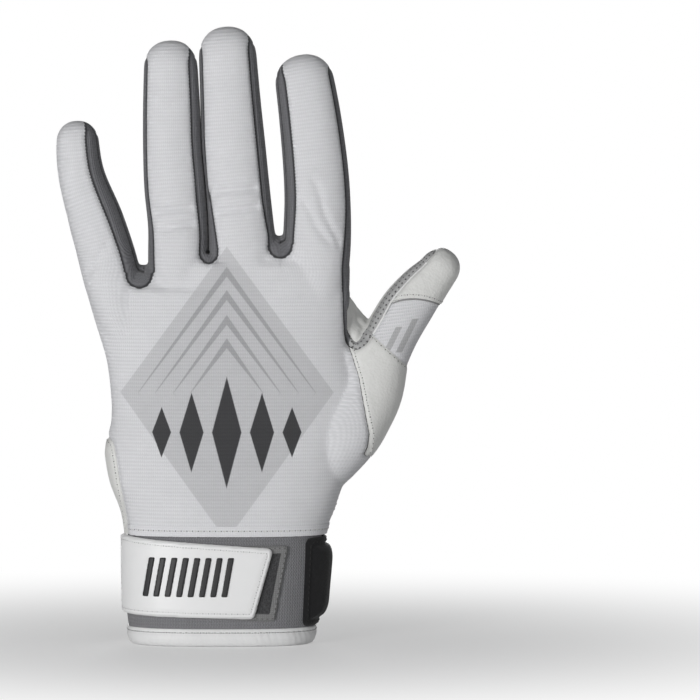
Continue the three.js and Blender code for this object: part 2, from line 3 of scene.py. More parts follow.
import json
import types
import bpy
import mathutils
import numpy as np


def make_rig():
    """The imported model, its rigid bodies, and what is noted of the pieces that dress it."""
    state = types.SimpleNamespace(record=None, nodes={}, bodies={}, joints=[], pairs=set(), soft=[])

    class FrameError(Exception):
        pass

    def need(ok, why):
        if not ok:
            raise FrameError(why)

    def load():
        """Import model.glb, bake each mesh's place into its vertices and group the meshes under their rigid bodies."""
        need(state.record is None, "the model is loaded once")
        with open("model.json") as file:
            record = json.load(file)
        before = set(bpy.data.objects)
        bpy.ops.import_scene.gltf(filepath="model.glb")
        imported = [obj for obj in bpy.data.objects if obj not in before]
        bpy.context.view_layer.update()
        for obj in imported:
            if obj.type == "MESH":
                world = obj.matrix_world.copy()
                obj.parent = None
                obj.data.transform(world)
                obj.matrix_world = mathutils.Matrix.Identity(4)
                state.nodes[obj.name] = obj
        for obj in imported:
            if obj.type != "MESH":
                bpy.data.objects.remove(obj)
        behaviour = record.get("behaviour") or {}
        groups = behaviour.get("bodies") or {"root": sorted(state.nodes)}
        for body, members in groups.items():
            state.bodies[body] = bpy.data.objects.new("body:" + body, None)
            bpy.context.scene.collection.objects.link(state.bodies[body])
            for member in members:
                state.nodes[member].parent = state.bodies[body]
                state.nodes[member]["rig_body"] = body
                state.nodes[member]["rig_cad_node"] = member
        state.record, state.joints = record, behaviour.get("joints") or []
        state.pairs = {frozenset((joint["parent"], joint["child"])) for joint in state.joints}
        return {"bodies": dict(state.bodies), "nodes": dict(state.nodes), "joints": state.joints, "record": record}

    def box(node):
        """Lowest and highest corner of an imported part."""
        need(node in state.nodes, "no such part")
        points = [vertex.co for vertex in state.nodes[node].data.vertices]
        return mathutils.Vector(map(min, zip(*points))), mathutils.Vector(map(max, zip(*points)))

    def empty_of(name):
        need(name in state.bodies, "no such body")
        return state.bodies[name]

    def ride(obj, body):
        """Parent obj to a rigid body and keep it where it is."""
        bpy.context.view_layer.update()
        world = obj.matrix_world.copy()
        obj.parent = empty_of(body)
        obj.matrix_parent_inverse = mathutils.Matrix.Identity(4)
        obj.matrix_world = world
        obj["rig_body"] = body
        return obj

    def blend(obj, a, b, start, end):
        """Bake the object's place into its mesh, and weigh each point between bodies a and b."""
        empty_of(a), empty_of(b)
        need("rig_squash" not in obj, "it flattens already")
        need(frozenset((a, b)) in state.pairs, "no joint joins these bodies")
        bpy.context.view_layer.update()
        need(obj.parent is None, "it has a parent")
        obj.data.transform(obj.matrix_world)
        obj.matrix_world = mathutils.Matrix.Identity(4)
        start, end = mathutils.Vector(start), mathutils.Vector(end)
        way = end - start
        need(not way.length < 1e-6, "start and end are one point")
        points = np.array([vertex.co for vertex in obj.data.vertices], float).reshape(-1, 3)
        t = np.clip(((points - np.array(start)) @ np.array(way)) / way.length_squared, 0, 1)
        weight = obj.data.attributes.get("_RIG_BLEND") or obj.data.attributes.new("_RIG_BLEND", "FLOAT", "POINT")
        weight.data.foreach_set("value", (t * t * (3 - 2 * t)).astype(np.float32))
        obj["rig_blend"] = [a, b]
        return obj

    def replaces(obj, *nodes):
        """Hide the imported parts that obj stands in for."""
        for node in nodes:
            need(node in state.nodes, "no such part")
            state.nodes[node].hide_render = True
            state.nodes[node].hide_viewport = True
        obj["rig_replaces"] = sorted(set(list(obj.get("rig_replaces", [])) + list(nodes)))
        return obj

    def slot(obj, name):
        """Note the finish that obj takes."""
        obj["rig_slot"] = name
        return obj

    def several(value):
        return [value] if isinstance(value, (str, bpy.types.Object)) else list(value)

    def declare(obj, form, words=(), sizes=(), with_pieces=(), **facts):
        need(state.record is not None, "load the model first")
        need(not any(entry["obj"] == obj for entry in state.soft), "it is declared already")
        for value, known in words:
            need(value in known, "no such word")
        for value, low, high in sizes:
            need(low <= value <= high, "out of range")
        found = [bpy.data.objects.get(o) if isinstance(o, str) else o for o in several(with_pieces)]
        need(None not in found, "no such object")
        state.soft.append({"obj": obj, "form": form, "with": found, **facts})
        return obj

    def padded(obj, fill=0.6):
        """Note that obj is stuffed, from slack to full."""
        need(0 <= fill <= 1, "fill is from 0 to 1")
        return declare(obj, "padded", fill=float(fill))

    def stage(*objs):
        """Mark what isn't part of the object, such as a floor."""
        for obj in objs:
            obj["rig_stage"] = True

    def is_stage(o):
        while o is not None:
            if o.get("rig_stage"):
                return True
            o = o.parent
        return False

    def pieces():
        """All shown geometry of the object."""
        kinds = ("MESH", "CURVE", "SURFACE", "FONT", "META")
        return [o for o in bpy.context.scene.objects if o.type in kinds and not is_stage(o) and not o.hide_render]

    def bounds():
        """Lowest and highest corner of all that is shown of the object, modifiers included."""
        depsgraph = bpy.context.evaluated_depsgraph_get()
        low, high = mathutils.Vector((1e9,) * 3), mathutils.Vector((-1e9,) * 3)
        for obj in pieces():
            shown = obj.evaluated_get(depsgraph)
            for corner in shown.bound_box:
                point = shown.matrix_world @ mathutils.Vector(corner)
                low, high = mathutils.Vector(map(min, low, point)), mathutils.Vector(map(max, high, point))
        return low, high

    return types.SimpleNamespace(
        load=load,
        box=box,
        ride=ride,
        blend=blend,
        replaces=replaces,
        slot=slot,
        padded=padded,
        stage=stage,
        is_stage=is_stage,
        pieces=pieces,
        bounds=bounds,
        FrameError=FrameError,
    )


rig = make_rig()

bl_info = {
    "name": "Padded inner glove",
    "version": (1, 0, 0),
    "blender": (4, 5, 0),
    "location": "View3D > Sidebar > Glove",
    "description": "Sews a knit and leather inner glove with pads, an elastic cuff and a strap",
    "category": "Add Mesh",
}

import json
import math
from itertools import product

import bpy
import numpy as np
from bpy.props import FloatProperty, FloatVectorProperty, IntProperty, PointerProperty
from mathutils import Vector

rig.load()
cad_box = [list(corner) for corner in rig.bounds()]

# Lengths are millimetres in the hand's own axes: x to the thumb side, y to the palm, z to the fingertips.
MM = 0.001
HEM_MIDDLE = (-1.7, 0.2)
hem_low, hem_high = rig.box("hem_binding")
SHIFT = np.array([
    (hem_low.x + hem_high.x) / 2 / MM - HEM_MIDDLE[0],
    (hem_low.y + hem_high.y) / 2 / MM - HEM_MIDDLE[1],
    0.0,
])
PALMWARD = np.array([0.0, 1.0, 0.0])

# Cuff sections from the floor up: height, pinky side, thumb side, back face, palm face
CUFF_SECTIONS = [
    [0, -36.4, 32.8, -20.8, 21.2],
    [6.6, -37.6, 34.2, -21.4, 21.8],
    [25, -38.6, 36.2, -21.8, 22.4],
    [43.6, -38.9, 37.8, -21.6, 23],
    [50, -39.2, 38.6, -21.4, 23.4],
]

# Hand sections from the wrist up
HAND_SECTIONS = [
    [36, -38.6, 37.6, -22, 22.8],
    [43.9, -39.3, 38.8, -22, 23.4],
    [52, -40.8, 42, -21.2, 24],
    [62, -44.6, 45.2, -19.6, 24.2],
    [73, -46.6, 47.6, -17.4, 23],
    [86, -44.4, 50.4, -15, 20],
    [97, -44.6, 51.2, -13.8, 18],
    [106, -45.6, 49.4, -13.1, 16.7],
    [114, -47.4, 47.3, -12.8, 15.6],
    [122, -49.9, 46.9, -12.5, 14.8],
    [136.7, -54.2, 48, -12.2, 13.2],
]
KNUCKLE_SECTIONS = [
    [119, -28.5, 44, -10.6, 12.2],
    [133.6, -31, 47.2, -12, 13.2],
    [146.7, -30.2, 47.8, -11.7, 12.4],
]
HAND_ROUNDNESS = 2.7
LIMB_ROUNDNESS = 2.3

# Stops on each centre line: x, y, z, half width, half depth
STOPS = {
    "pinky": [
        [-36.5, 0.8, 112, 7, 8.5], [-41.3, 0.4, 130, 10.1, 11.2], [-42.9, 0.4, 137.1, 10.9, 11.6],
        [-49.4, 0.8, 161, 10.6, 10.8], [-55.8, 2, 181, 8.9, 9.8], [-57.7, 3.4, 201, 7.9, 8.6],
    ],
    "ring": [
        [-18.6, 0.8, 124, 9.5, 9], [-18.4, 0.4, 147, 11.6, 11.9], [-18.4, 0.7, 160, 11.6, 11.5],
        [-19.7, 0.9, 176, 11.8, 11], [-20.65, 1.4, 192, 11.3, 10.7], [-20.9, 1.9, 205, 11.05, 10.4],
        [-21.4, 3.4, 231.8, 9.9, 9.4],
    ],
    "middle": [
        [7.0, 0.8, 124, 11, 9], [6.6, 0.4, 147, 13.5, 12], [5.7, 0.7, 160.5, 12.75, 11.6],
        [4.25, 0.9, 176, 12.5, 11.2], [2.8, 1.4, 192, 12.35, 10.9], [1.95, 1.9, 205, 11.8, 10.6],
        [0, 3.4, 237.2, 10.8, 9.6],
    ],
    "index": [
        [33.4, 0.8, 124, 10, 9], [34.7, 0.4, 147, 12.9, 12], [35.1, 0.9, 173, 12.7, 11.2],
        [32.5, 1.9, 201, 12, 10.6], [28.6, 3.4, 226.4, 10.9, 9.6],
    ],
    "thumb": [
        [26, 3, 56, 8, 12], [37, 3.6, 69, 12, 15], [46, 4.4, 82, 14.2, 16.5], [54.6, 5.4, 97, 13.4, 14],
        [60, 6.2, 111.6, 11, 11.8], [63.8, 6.6, 119.1, 10.5, 11.2], [70.3, 7.2, 129.7, 10.2, 10.5],
        [76.7, 7.8, 137.8, 8.9, 9.8], [79.8, 8.1, 141.2, 8.0, 9.4], [86.6, 8.8, 150, 6.8, 8.8],
    ],
}
DOMES = {"pinky": 9, "ring": 11, "middle": 12, "index": 11.5, "thumb": 8}
FINGERS = ("pinky", "ring", "middle", "index")
ROOTS = {"pinky": 137.1, "ring": 147, "middle": 147, "index": 147}
BENDS = {"pinky": 168.5, "ring": 186, "middle": 188.5, "index": 183.5}
ROOT_BLEND = 13
BEND_BLEND = (-8, 10)
PIECE_SPLIT = {"pinky": 155.5, "ring": 167.5, "middle": 167.5, "index": 167.5}
THUMB_LINE = ((56.9, 118.3), (69.2, 107.1))
THUMB_BLEND = (1.8, 8.5)
THUMB_BEND_BLEND = (9, 18)
THUMB_SPLIT = 8.8

# Webs between the fingers: middle x, height of the back seam, height of the saddle, half width
WEBS = [(-33.1, 137.4, 145.5, 4.7), (-6.5, 147.0, 150.8, 3.1), (20.9, 148.8, 156.7, 4.2)]

# Gusset seams in degrees round the finger, from the middle of its back: back seam at root and above, palm seam
GUSSET_ANGLES = {
    ("pinky", -1): (97, 97, 97), ("pinky", 1): (31, 26, 115),
    ("ring", -1): (53, 62, 115), ("ring", 1): (50, 44, 115),
    ("middle", -1): (46, 64, 115), ("middle", 1): (57, 48, 115),
    ("index", -1): (45, 41, 115), ("index", 1): (53, 60, 115),
}
TIP_SEAM = 2.2
GUSSET_FOLD = 66
FOLDED_GUSSETS = (("pinky", 1), ("index", -1))

# Back seam of the strip from the index finger round the crotch to the tip of the thumb
STRIP_SEAM = [
    (45.2, 150), (45.35, 134), (45.9, 122), (46.3, 118), (47.2, 114.9), (49.9, 113.3), (53.3, 115.1),
    (56.7, 120), (61.2, 127.5), (63.9, 132.3), (67.8, 137.1), (71.2, 140.9), (75, 144.4), (78.4, 148.1),
    (80.1, 150), (82.5, 154),
]
STRIP_WIDTH = 3.4
STRIP_START = 47.2
CROTCH_BACK_SEAM = 4.5
CROTCH_PALM_SEAM = 5.4

# Soft folds across the knit at the roots of the fingers, from one place (x, z) to another
FOLDS = [((-28.4, 165.2), (-11.9, 168.7)), ((-24.5, 158.9), (-11.1, 162.5)), ((-5.6, 173.1), (13.2, 176.2)),
         ((-4.8, 165.2), (13.6, 169.1)), ((32.9, 180.1), (43.9, 151.8)), ((27.4, 173.1), (40.7, 152.7)),
         ((-53.5, 140.1), (-45.3, 155.8))]
THUMB_SEAM = 0.3

# Seams on the hand
HAND_SEAM = 1.6
KNIT_EDGE = [(70.4, 64), (72.4, 53.4), (75.5, 54.9), (80.8, 55.6), (88.9, 53.9), (102.4, 51.2), (114.7, 47.4),
             (118, 46.4)]
THUMB_SIDE_SEAM = [(44, 1.2), (60, 1.2), (72, 3.6), (97, 5.6), (112, 6.2)]
GORE_SEAM = ((43.5, -37.8), (78, -43.6))
GORE_TOP = 79
BAND_LOW = 42.4
BAND_HIGH = 46.2

# Pads: place on the finger's centre line, width, length, corner
FINGER_PADS = {
    "index": {"lower": (164.6, 16.4, 21, 5.4), "upper": (203, 17, 32, 8.2)},
    "middle": {"lower": (166.6, 16, 22, 5.4), "upper": (210.6, 17.6, 36, 8.4)},
    "ring": {"lower": (165.2, 15, 20.6, 5), "upper": (207, 15.4, 34, 7.4)},
    "pinky": {"lower": (152.4, 14, 17.6, 4.8)},
}
PALM_PAD = [(26.6, 140.6), (-6.9, 136.3), (-12.4, 127.6), (-14.2, 115.4), (-10.6, 108.6), (4, 98.2),
            (12.6, 96.4), (20.4, 100.2), (31.6, 110.8), (36.6, 119.4)]
PAD_RISE = 1.7
PAD_SHOULDER = 3.6

FAR = 1000.0


def colour_choice(name, description, *default):
    return FloatVectorProperty(name=name, description=description, subtype="COLOR", default=default)


class GloveSizes(bpy.types.PropertyGroup):
    """Sizes that shape the sewn skin, in millimetres."""

    voxel: FloatProperty(name="Skin detail", description="Size of the skin's facets", default=0.7, min=0.4)
    wall: FloatProperty(name="Wall", description="Thickness of knit or leather with its lining", default=1.2)
    pinch: FloatProperty(name="Seam depth", description="How deep a sewn seam is drawn in", default=0.75)
    pitch: FloatProperty(name="Stitch pitch", description="From one needle hole to the next", default=2.2)
    thread: FloatProperty(name="Thread", description="Thickness of the sewing thread", default=0.46)
    around: IntProperty(name="Cuff facets", description="Facets around the cuff", default=240)


class GloveColours(bpy.types.PropertyGroup):
    """Colours of the cloths and leathers, as they look on screen."""

    knit: colour_choice("Knit", "Knit back", 0.83, 0.83, 0.84)
    leather: colour_choice("Leather", "Palm leather", 0.84, 0.84, 0.83)
    gusset: colour_choice("Gusset", "Stretch gussets", 0.33, 0.33, 0.34)
    elastic: colour_choice("Elastic", "Cuff elastic", 0.47, 0.47, 0.48)
    black: colour_choice("Black", "Side pad, webbing and rubber", 0.1, 0.1, 0.105)


# Curves and bodies


def linear(colour):
    """A screen colour as the shader reads it."""
    return tuple(c / 12.92 if c < 0.04045 else ((c + 0.055) / 1.055) ** 2.4 for c in colour)


def ease(value, low, high):
    """0 below low, 1 above high and smooth between; high may be the smaller."""
    part = np.clip((value - low) / (high - low), 0, 1)
    return part * part * (3 - 2 * part)


def soft_min(a, b, width):
    """The smaller of two fields, rounded where they cross."""
    mix = np.clip(0.5 + 0.5 * (b - a) / width, 0, 1)
    return b * (1 - mix) + a * mix - width * mix * (1 - mix)


def unit(rows):
    return rows / np.maximum(np.linalg.norm(rows, axis=-1, keepdims=True), 1e-9)


def run_lengths(rows):
    """The length along a line of points, up to each of them."""
    return np.concatenate([[0], np.cumsum(np.linalg.norm(np.diff(rows, axis=0), axis=1))])


def rows_at(query, at, rows):
    """Rows read off between the given ones, in straight lines."""
    return np.stack([np.interp(query, at, column) for column in rows.T], axis=1)


def smooth_rows(at, rows, query):
    """Rows on a smooth line through the given rows, at the places asked for."""
    rows = np.array(rows, float)
    slopes = np.gradient(rows, at, axis=0)
    i = np.clip(np.searchsorted(at, query, side="right") - 1, 0, len(at) - 2)
    span = (at[i + 1] - at[i])[:, None]
    t = (query - at[i])[:, None] / span
    return (
        rows[i] * (2 * t**3 - 3 * t**2 + 1) + slopes[i] * span * (t**3 - 2 * t**2 + t)
        + rows[i + 1] * (3 * t**2 - 2 * t**3) + slopes[i + 1] * span * (t**3 - t**2)
    )


def rounded(angle, roundness):
    """A point of the unit rounded square at an angle: across and out."""
    power = 2 / roundness
    cos, sin = np.cos(angle), np.sin(angle)
    return np.sign(cos) * np.abs(cos) ** power, np.sign(sin) * np.abs(sin) ** power


def line_distance(x, z, line):
    """Distance to a closed line, negative inside."""
    ahead = np.roll(line, -1, axis=0)
    nearest = np.full(len(x), 1e9)
    inside = np.zeros(len(x), bool)
    for (ax, az), (bx, bz) in zip(line, ahead):
        dx, dz = bx - ax, bz - az
        long = dx * dx + dz * dz
        if long < 1e-12:
            continue
        t = np.clip(((x - ax) * dx + (z - az) * dz) / long, 0, 1)
        nearest = np.minimum(nearest, np.hypot(x - ax - t * dx, z - az - t * dz))
        if az != bz:
            inside ^= ((az > z) != (bz > z)) & (x < dx * (z - az) / dz + ax)
    return np.where(inside, -nearest, nearest)


LIMB_STEP = 1.4
DOME_POWER = 0.85
POINTS_AT_ONCE = 20000


class Limb:
    """A finger or the thumb: a centre line with half widths and half depths, and its local axes."""

    def __init__(self, name):
        stops = np.array(STOPS[name], float)
        at = run_lengths(stops[:, :3])
        self.dome = DOMES[name]
        rows = smooth_rows(at, stops, np.linspace(0, at[-1], int(at[-1]) + 1))
        self.centre, self.half = rows[:, :3], rows[:, 3:]
        self.s = run_lengths(self.centre)
        self.length = self.s[-1]
        self.along = unit(np.gradient(self.centre, self.s, axis=0))
        self.lateral = unit(np.cross(PALMWARD, self.along))
        self.front = np.cross(self.along, self.lateral)

    def at(self, s):
        """Centre, along, lateral, front and half sizes at lengths on the line; straight before its start."""
        inside = np.clip(s, 0, self.length)
        lines = (self.centre, self.along, self.lateral, self.front, self.half)
        centre, along, lateral, front, half = (rows_at(inside, self.s, rows) for rows in lines)
        return centre + along * (s - inside)[:, None], unit(along), unit(lateral), unit(front), half

    def local(self, points):
        """Length along, across and palmward places, half width and half depth of each point."""
        s = np.empty(len(points))
        for start in range(0, len(points), POINTS_AT_ONCE):
            some = points[start:start + POINTS_AT_ONCE]
            gap = ((some[:, None, :] - self.centre[None, ::2, :]) ** 2).sum(2)
            near = np.argmin(gap, axis=1) * 2
            ahead = ((some - self.centre[near]) * self.along[near]).sum(1)
            s[start:start + POINTS_AT_ONCE] = self.s[near] + ahead
        for _ in range(2):
            centre, along, lateral, front, half = self.at(s)
            s = s + ((points - centre) * along).sum(1)
        centre, along, lateral, front, half = self.at(s)
        u = ((points - centre) * lateral).sum(1)
        v = ((points - centre) * front).sum(1)
        return s, u, v, half[:, 0], half[:, 1]

    def dome_share(self, s):
        """How much of its full section the limb still has near the tip."""
        share = np.clip((s - (self.length - self.dome)) / self.dome, 0, 0.999)
        return np.cos(np.arcsin(share)) ** DOME_POWER

    def near_height(self, height):
        """The length along the line at a height."""
        return float(np.interp(height, self.centre[:, 2], self.s))

    def rings(self, grow, sides):
        """Rings of the limb's skin, grown by an offset."""
        angle = np.linspace(0, 2 * math.pi, sides, endpoint=False)
        across, out = rounded(angle, LIMB_ROUNDNESS)
        base = self.length - self.dome
        places = [(s, 1.0, 0.0) for s in np.linspace(0, base, int(base / LIMB_STEP) + 1)]
        for a in np.linspace(0, math.pi / 2, 11)[1:]:
            places.append((base, max(math.cos(a), 0.02) ** DOME_POWER, (self.dome + grow) * math.sin(a)))
        rings = []
        for s, shrink, ahead in places:
            centre, along, lateral, front, half = (row[0] for row in self.at(np.array([s])))
            wide, deep = (half + grow) * shrink
            middle = centre + along * ahead
            rings.append(middle + np.outer(across * wide, lateral) + np.outer(out * deep, front))
        return rings


LIMBS = {name: Limb(name) for name in STOPS}


def smooth_line(stops, count):
    rows = np.array(stops, float)
    at = run_lengths(rows)
    return smooth_rows(at, rows, np.linspace(0, at[-1], count))


STRIP_OUTLINE = np.concatenate([smooth_line(STRIP_SEAM, 70), [(82.5, 220), (45.2, 220)]])


def section_at(sections, z):
    """Pinky side, thumb side, back and palm faces at heights."""
    rows = np.array(sections, float)
    return smooth_rows(rows[:, 0], rows[:, 1:], np.clip(z, rows[0, 0], rows[-1, 0]))


TOP_ROUNDING = 2.4


def section_rings(sections, grow, step, sides):
    """Rings of a body through level sections, grown by an offset, with a rounded top edge."""
    angle = np.linspace(0, 2 * math.pi, sides, endpoint=False)
    across, out = rounded(angle, HAND_ROUNDNESS)
    low, high = sections[0][0], sections[-1][0]
    levels = [(z, 0.0) for z in np.arange(low, high - TOP_ROUNDING, step)]
    for a in np.linspace(0, math.pi / 2, 6):
        levels.append((high - TOP_ROUNDING * (1 - math.sin(a)), TOP_ROUNDING * (1 - math.cos(a))))
    rings = []
    for z, inset in levels:
        left, right, back, palm = section_at(sections, np.array([z]))[0]
        x = (left + right) / 2 + across * ((right - left) / 2 + grow - inset)
        y = (back + palm) / 2 + out * ((palm - back) / 2 + grow - inset)
        rings.append(np.stack([x, y, np.full(sides, z)], axis=1))
    return rings


def closed_skin(rings):
    """Points and triangles of a skin through equal rings, capped at both ends."""
    count = len(rings[0])
    points = np.concatenate(rings + [[rings[0].mean(0)], [rings[-1].mean(0)]])
    faces = []
    for r in range(len(rings) - 1):
        for i in range(count):
            a, b = r * count + i, r * count + (i + 1) % count
            faces += [(a, b, b + count), (a, b + count, a + count)]
    first, last, top = len(points) - 2, len(points) - 1, (len(rings) - 1) * count
    for i in range(count):
        n = (i + 1) % count
        faces += [(first, n, i), (last, top + i, top + n)]
    return points, np.array(faces)


def linked(name, mesh):
    """A new object with a mesh, in the scene."""
    made = bpy.data.objects.new(name, mesh)
    bpy.context.scene.collection.objects.link(made)
    return made


def mesh_object(name, points, faces):
    """A Blender object from millimetre points and triangles, with its place in its mesh."""
    mesh = bpy.data.meshes.new(name)
    mesh.from_pydata(((points + SHIFT) * MM).tolist(), [], faces.tolist())
    mesh.update()
    return linked(name, mesh)


def apply_modifiers(made):
    for other in bpy.context.selected_objects:
        other.select_set(False)
    made.select_set(True)
    bpy.context.view_layer.objects.active = made
    for modifier in list(made.modifiers):
        bpy.ops.object.modifier_apply(modifier=modifier.name)


def read_mesh(made):
    """An object's points in millimetres and its faces as triangles."""
    mesh = made.data
    mesh.calc_loop_triangles()
    points = np.empty(len(mesh.vertices) * 3)
    mesh.vertices.foreach_get("co", points)
    faces = np.empty(len(mesh.loop_triangles) * 3, np.int32)
    mesh.loop_triangles.foreach_get("vertices", faces)
    return points.reshape(-1, 3) / MM - SHIFT, faces.reshape(-1, 3).astype(np.int64)


def point_normals(points, faces):
    a, b, c = (points[faces[:, k]] for k in range(3))
    normals = np.cross(b - a, c - a)
    total = np.zeros_like(points)
    for k in range(3):
        np.add.at(total, faces[:, k], normals)
    return unit(total)


NOISE_CELLS = 24


def soft_noise(points, size, seed):
    """Smooth lumps of about a size, from -1 to 1."""
    table = np.random.default_rng(seed).uniform(-1, 1, (NOISE_CELLS, NOISE_CELLS, NOISE_CELLS))
    place = points / size
    base = np.floor(place).astype(int)
    part = place - base
    part = part * part * (3 - 2 * part)
    total = np.zeros(len(points))
    for corner in product((0, 1), repeat=3):
        weight = np.prod(np.where(np.array(corner) == 1, part, 1 - part), axis=1)
        i, j, k = ((base + corner) % NOISE_CELLS).T
        total += weight * table[i, j, k]
    return total


# The sewn skin: one smooth surface, cut into panels along seams


def web_rings(x, seam_z, saddle_z, half_width):
    """A small saddle of cloth between two finger roots."""
    reach = half_width + 4.5
    middle_z = (seam_z + saddle_z) / 2
    outline = [
        (-9.4, seam_z - 8), (-9.2, seam_z - 0.5), (-6.4, middle_z + 0.6), (-3, saddle_z - 1.1),
        (0.4, saddle_z - 0.2), (4, saddle_z - 1.4), (7.4, middle_z), (9.8, seam_z - 1.5), (10, seam_z - 8),
    ]
    return [np.array([[x + side, y, z] for y, z in outline]) for side in (-reach, reach)]


# Cuts through the web of the thumb: x, faces at back and palm, its top at the back and at the palm
CROTCH_CUTS = [
    (43, -4.5, 8, 114.3, 138), (48, -5, 10, 113.4, 132.5), (53, -5.5, 12, 114.8, 126), (59, -5, 14, 119, 119.5),
]
CROTCH_FLOOR = 98


def crotch_rings():
    """The web between index finger and thumb: low at the back of the hand, high at the palm."""
    rings = []
    for x, back, palm, low, high in CROTCH_CUTS:
        deep, tall = palm - back, high - low
        outline = [
            (back, CROTCH_FLOOR), (back, low - 1.4), (back + 1.6, low + 0.3),
            (back + deep * 0.35, low + tall * 0.36), (back + deep * 0.66, low + tall * 0.74),
            (palm - 1.2, high - 0.3), (palm + 0.8, high - 2.2), (palm + 1.2, high - 7),
            (palm + 1.2, CROTCH_FLOOR),
        ]
        rings.append(np.array([[x, y, z] for y, z in outline]))
    return rings


PART_WIDTH = 0.65
PART_REACH = 9


def parted(points, way):
    """Moves the facing sides of ring and middle finger apart or together, so their skins stay separate."""
    sides = []
    for name, side in (("ring", 1), ("middle", -1)):
        limb = LIMBS[name]
        sides.append(np.interp(points[:, 2], limb.centre[:, 2], limb.centre[:, 0] + side * limb.half[:, 0]))
    aside = points[:, 0] - sum(sides) / 2
    share = ease(points[:, 2], 148, 151) * ease(np.abs(aside), PART_REACH, 1)
    moved = points.copy()
    moved[:, 0] += way * PART_WIDTH * np.sign(aside) * share
    return moved


SKIN_SHRINK = 0.5


def raw_skin(voxel):
    """The hand, fingers, thumb and webs joined into one smooth closed surface."""
    bodies = [section_rings(rows, -SKIN_SHRINK, 2.0, 72) for rows in (HAND_SECTIONS, KNUCKLE_SECTIONS)]
    bodies += [limb.rings(-SKIN_SHRINK, 48) for limb in LIMBS.values()]
    bodies += [web_rings(*web) for web in WEBS]
    bodies.append(crotch_rings())
    points, faces, start = [], [], 0
    for rings in bodies:
        some, tris = closed_skin(rings)
        points.append(parted(some, 1))
        faces.append(tris + start)
        start += len(some)
    made = mesh_object("glove_skin", np.concatenate(points), np.concatenate(faces))
    remesh = made.modifiers.new("one skin", "REMESH")
    remesh.mode = "VOXEL"
    remesh.voxel_size = voxel * MM
    relax = made.modifiers.new("relax", "SMOOTH")
    relax.factor = 0.5
    relax.iterations = 14
    apply_modifiers(made)
    points, faces = read_mesh(made)
    bpy.data.objects.remove(made)
    return parted(points + SKIN_SHRINK * point_normals(points, faces), -1), faces


def arc_table():
    """How far round the hand's section each angle from mid back lies, as a share of half width."""
    angle = np.linspace(-math.pi, math.pi, 721)
    sin, cos = np.sin(angle), np.cos(angle)
    power = HAND_ROUNDNESS
    reach = (np.abs(sin) ** power + np.abs(cos) ** power) ** (-1 / power)
    arc = run_lengths(np.stack([reach * sin, -reach * cos * 0.33], axis=1))
    return angle, arc - arc[len(arc) // 2]


ARC_ANGLES, ARC_SHARES = arc_table()


class Places(dict):
    """What seams and cloth are measured by, a row of values for each name."""

    __getattr__ = dict.__getitem__

    def picked(self, used):
        return Places({key: row[used] for key, row in self.items()})


def within(**limits):
    """A test for the points whose places, by name, lie between a low and a high limit."""
    def test(p):
        inside = np.ones(len(p.x), bool)
        for key, (low, high) in limits.items():
            inside &= (p[key] > low) & (p[key] < high)
        return inside
    return test


def section_arc(u, v, wide, deep):
    """How far round a limb's section a point lies from the middle of its back."""
    return np.arctan2(u / wide, -v / deep) * (wide + deep) * 0.54


def places_of(points):
    """Everything that seams and cloth are measured by, for each point of the skin."""
    x, y, z = points.T
    limbs = [LIMBS[name] for name in FINGERS]
    s, u, v, wide, deep = np.array([limb.local(points) for limb in limbs]).transpose(1, 0, 2)
    power = LIMB_ROUNDNESS
    reach = ((np.abs(u) / wide) ** power + (np.abs(v) / deep) ** power) ** (1 / power)
    owner = np.argmin(reach, axis=0)
    dome = np.array([limb.dome_share(row) for limb, row in zip(limbs, s)])
    s, u, v, wide, deep, dome = (rows[owner, np.arange(len(points))] for rows in (s, u, v, wide, deep, dome))
    found = Places(x=x, y=y, z=z, owner=owner, s=s, u=u, v=v, wide=wide, deep=deep, dome=dome)
    for k in range(3):
        found[f"between_{k}"] = (reach[k] - reach[k + 1]) * 11
    ts, tu, tv, thumb_wide, thumb_deep = LIMBS["thumb"].local(points)
    left, right, back, palm = section_at(HAND_SECTIONS, z).T
    angle = np.arctan2((x - (left + right) / 2) / (right - left), -(y - (back + palm) / 2) / (palm - back))
    found.update(tv=tv, side=np.sign(x - (left + right) / 2), turn=np.arctan2(np.abs(u) / wide, -v / deep))
    found["strip"] = -line_distance(x, z, STRIP_OUTLINE)
    hand_arc = np.interp(angle, ARC_ANGLES, ARC_SHARES) * (right - left) / 2 + (left + right) / 2
    root_x = np.array([np.interp(ROOTS[name], LIMBS[name].centre[:, 2], LIMBS[name].centre[:, 0])
                       for name in FINGERS])[owner]
    root_s = np.array([LIMBS[name].near_height(ROOTS[name]) - ROOTS[name] for name in FINGERS])[owner]
    mix = ease(z, 138, 157)
    across = hand_arc * (1 - mix) + (section_arc(u, v, wide, deep) + root_x) * mix
    along = z * (1 - mix) + (s - root_s) * mix
    on_thumb = thumb_past(found) > 0
    found["across"] = np.where(on_thumb, section_arc(tu, tv, thumb_wide, thumb_deep), across)
    found["along"] = np.where(on_thumb, ts, along)
    return found


def thumb_line():
    """The middle of the slanting line at the root of the thumb, and its direction up the thumb, in x and z."""
    (x0, z0), (x1, z1) = THUMB_LINE
    ahead = np.array([z0 - z1, x1 - x0]) / math.hypot(x1 - x0, z1 - z0)
    return np.array([(x0 + x1) / 2, (z0 + z1) / 2]), ahead


def thumb_past(p):
    """How far a point lies beyond the slanting seam at the root of the thumb; negative on the hand."""
    ahead = thumb_line()[1]
    x0, z0 = THUMB_LINE[0]
    return soft_min((p.x - x0) * ahead[0] + (p.z - z0) * ahead[1], p.x - 50.6, 1.0)


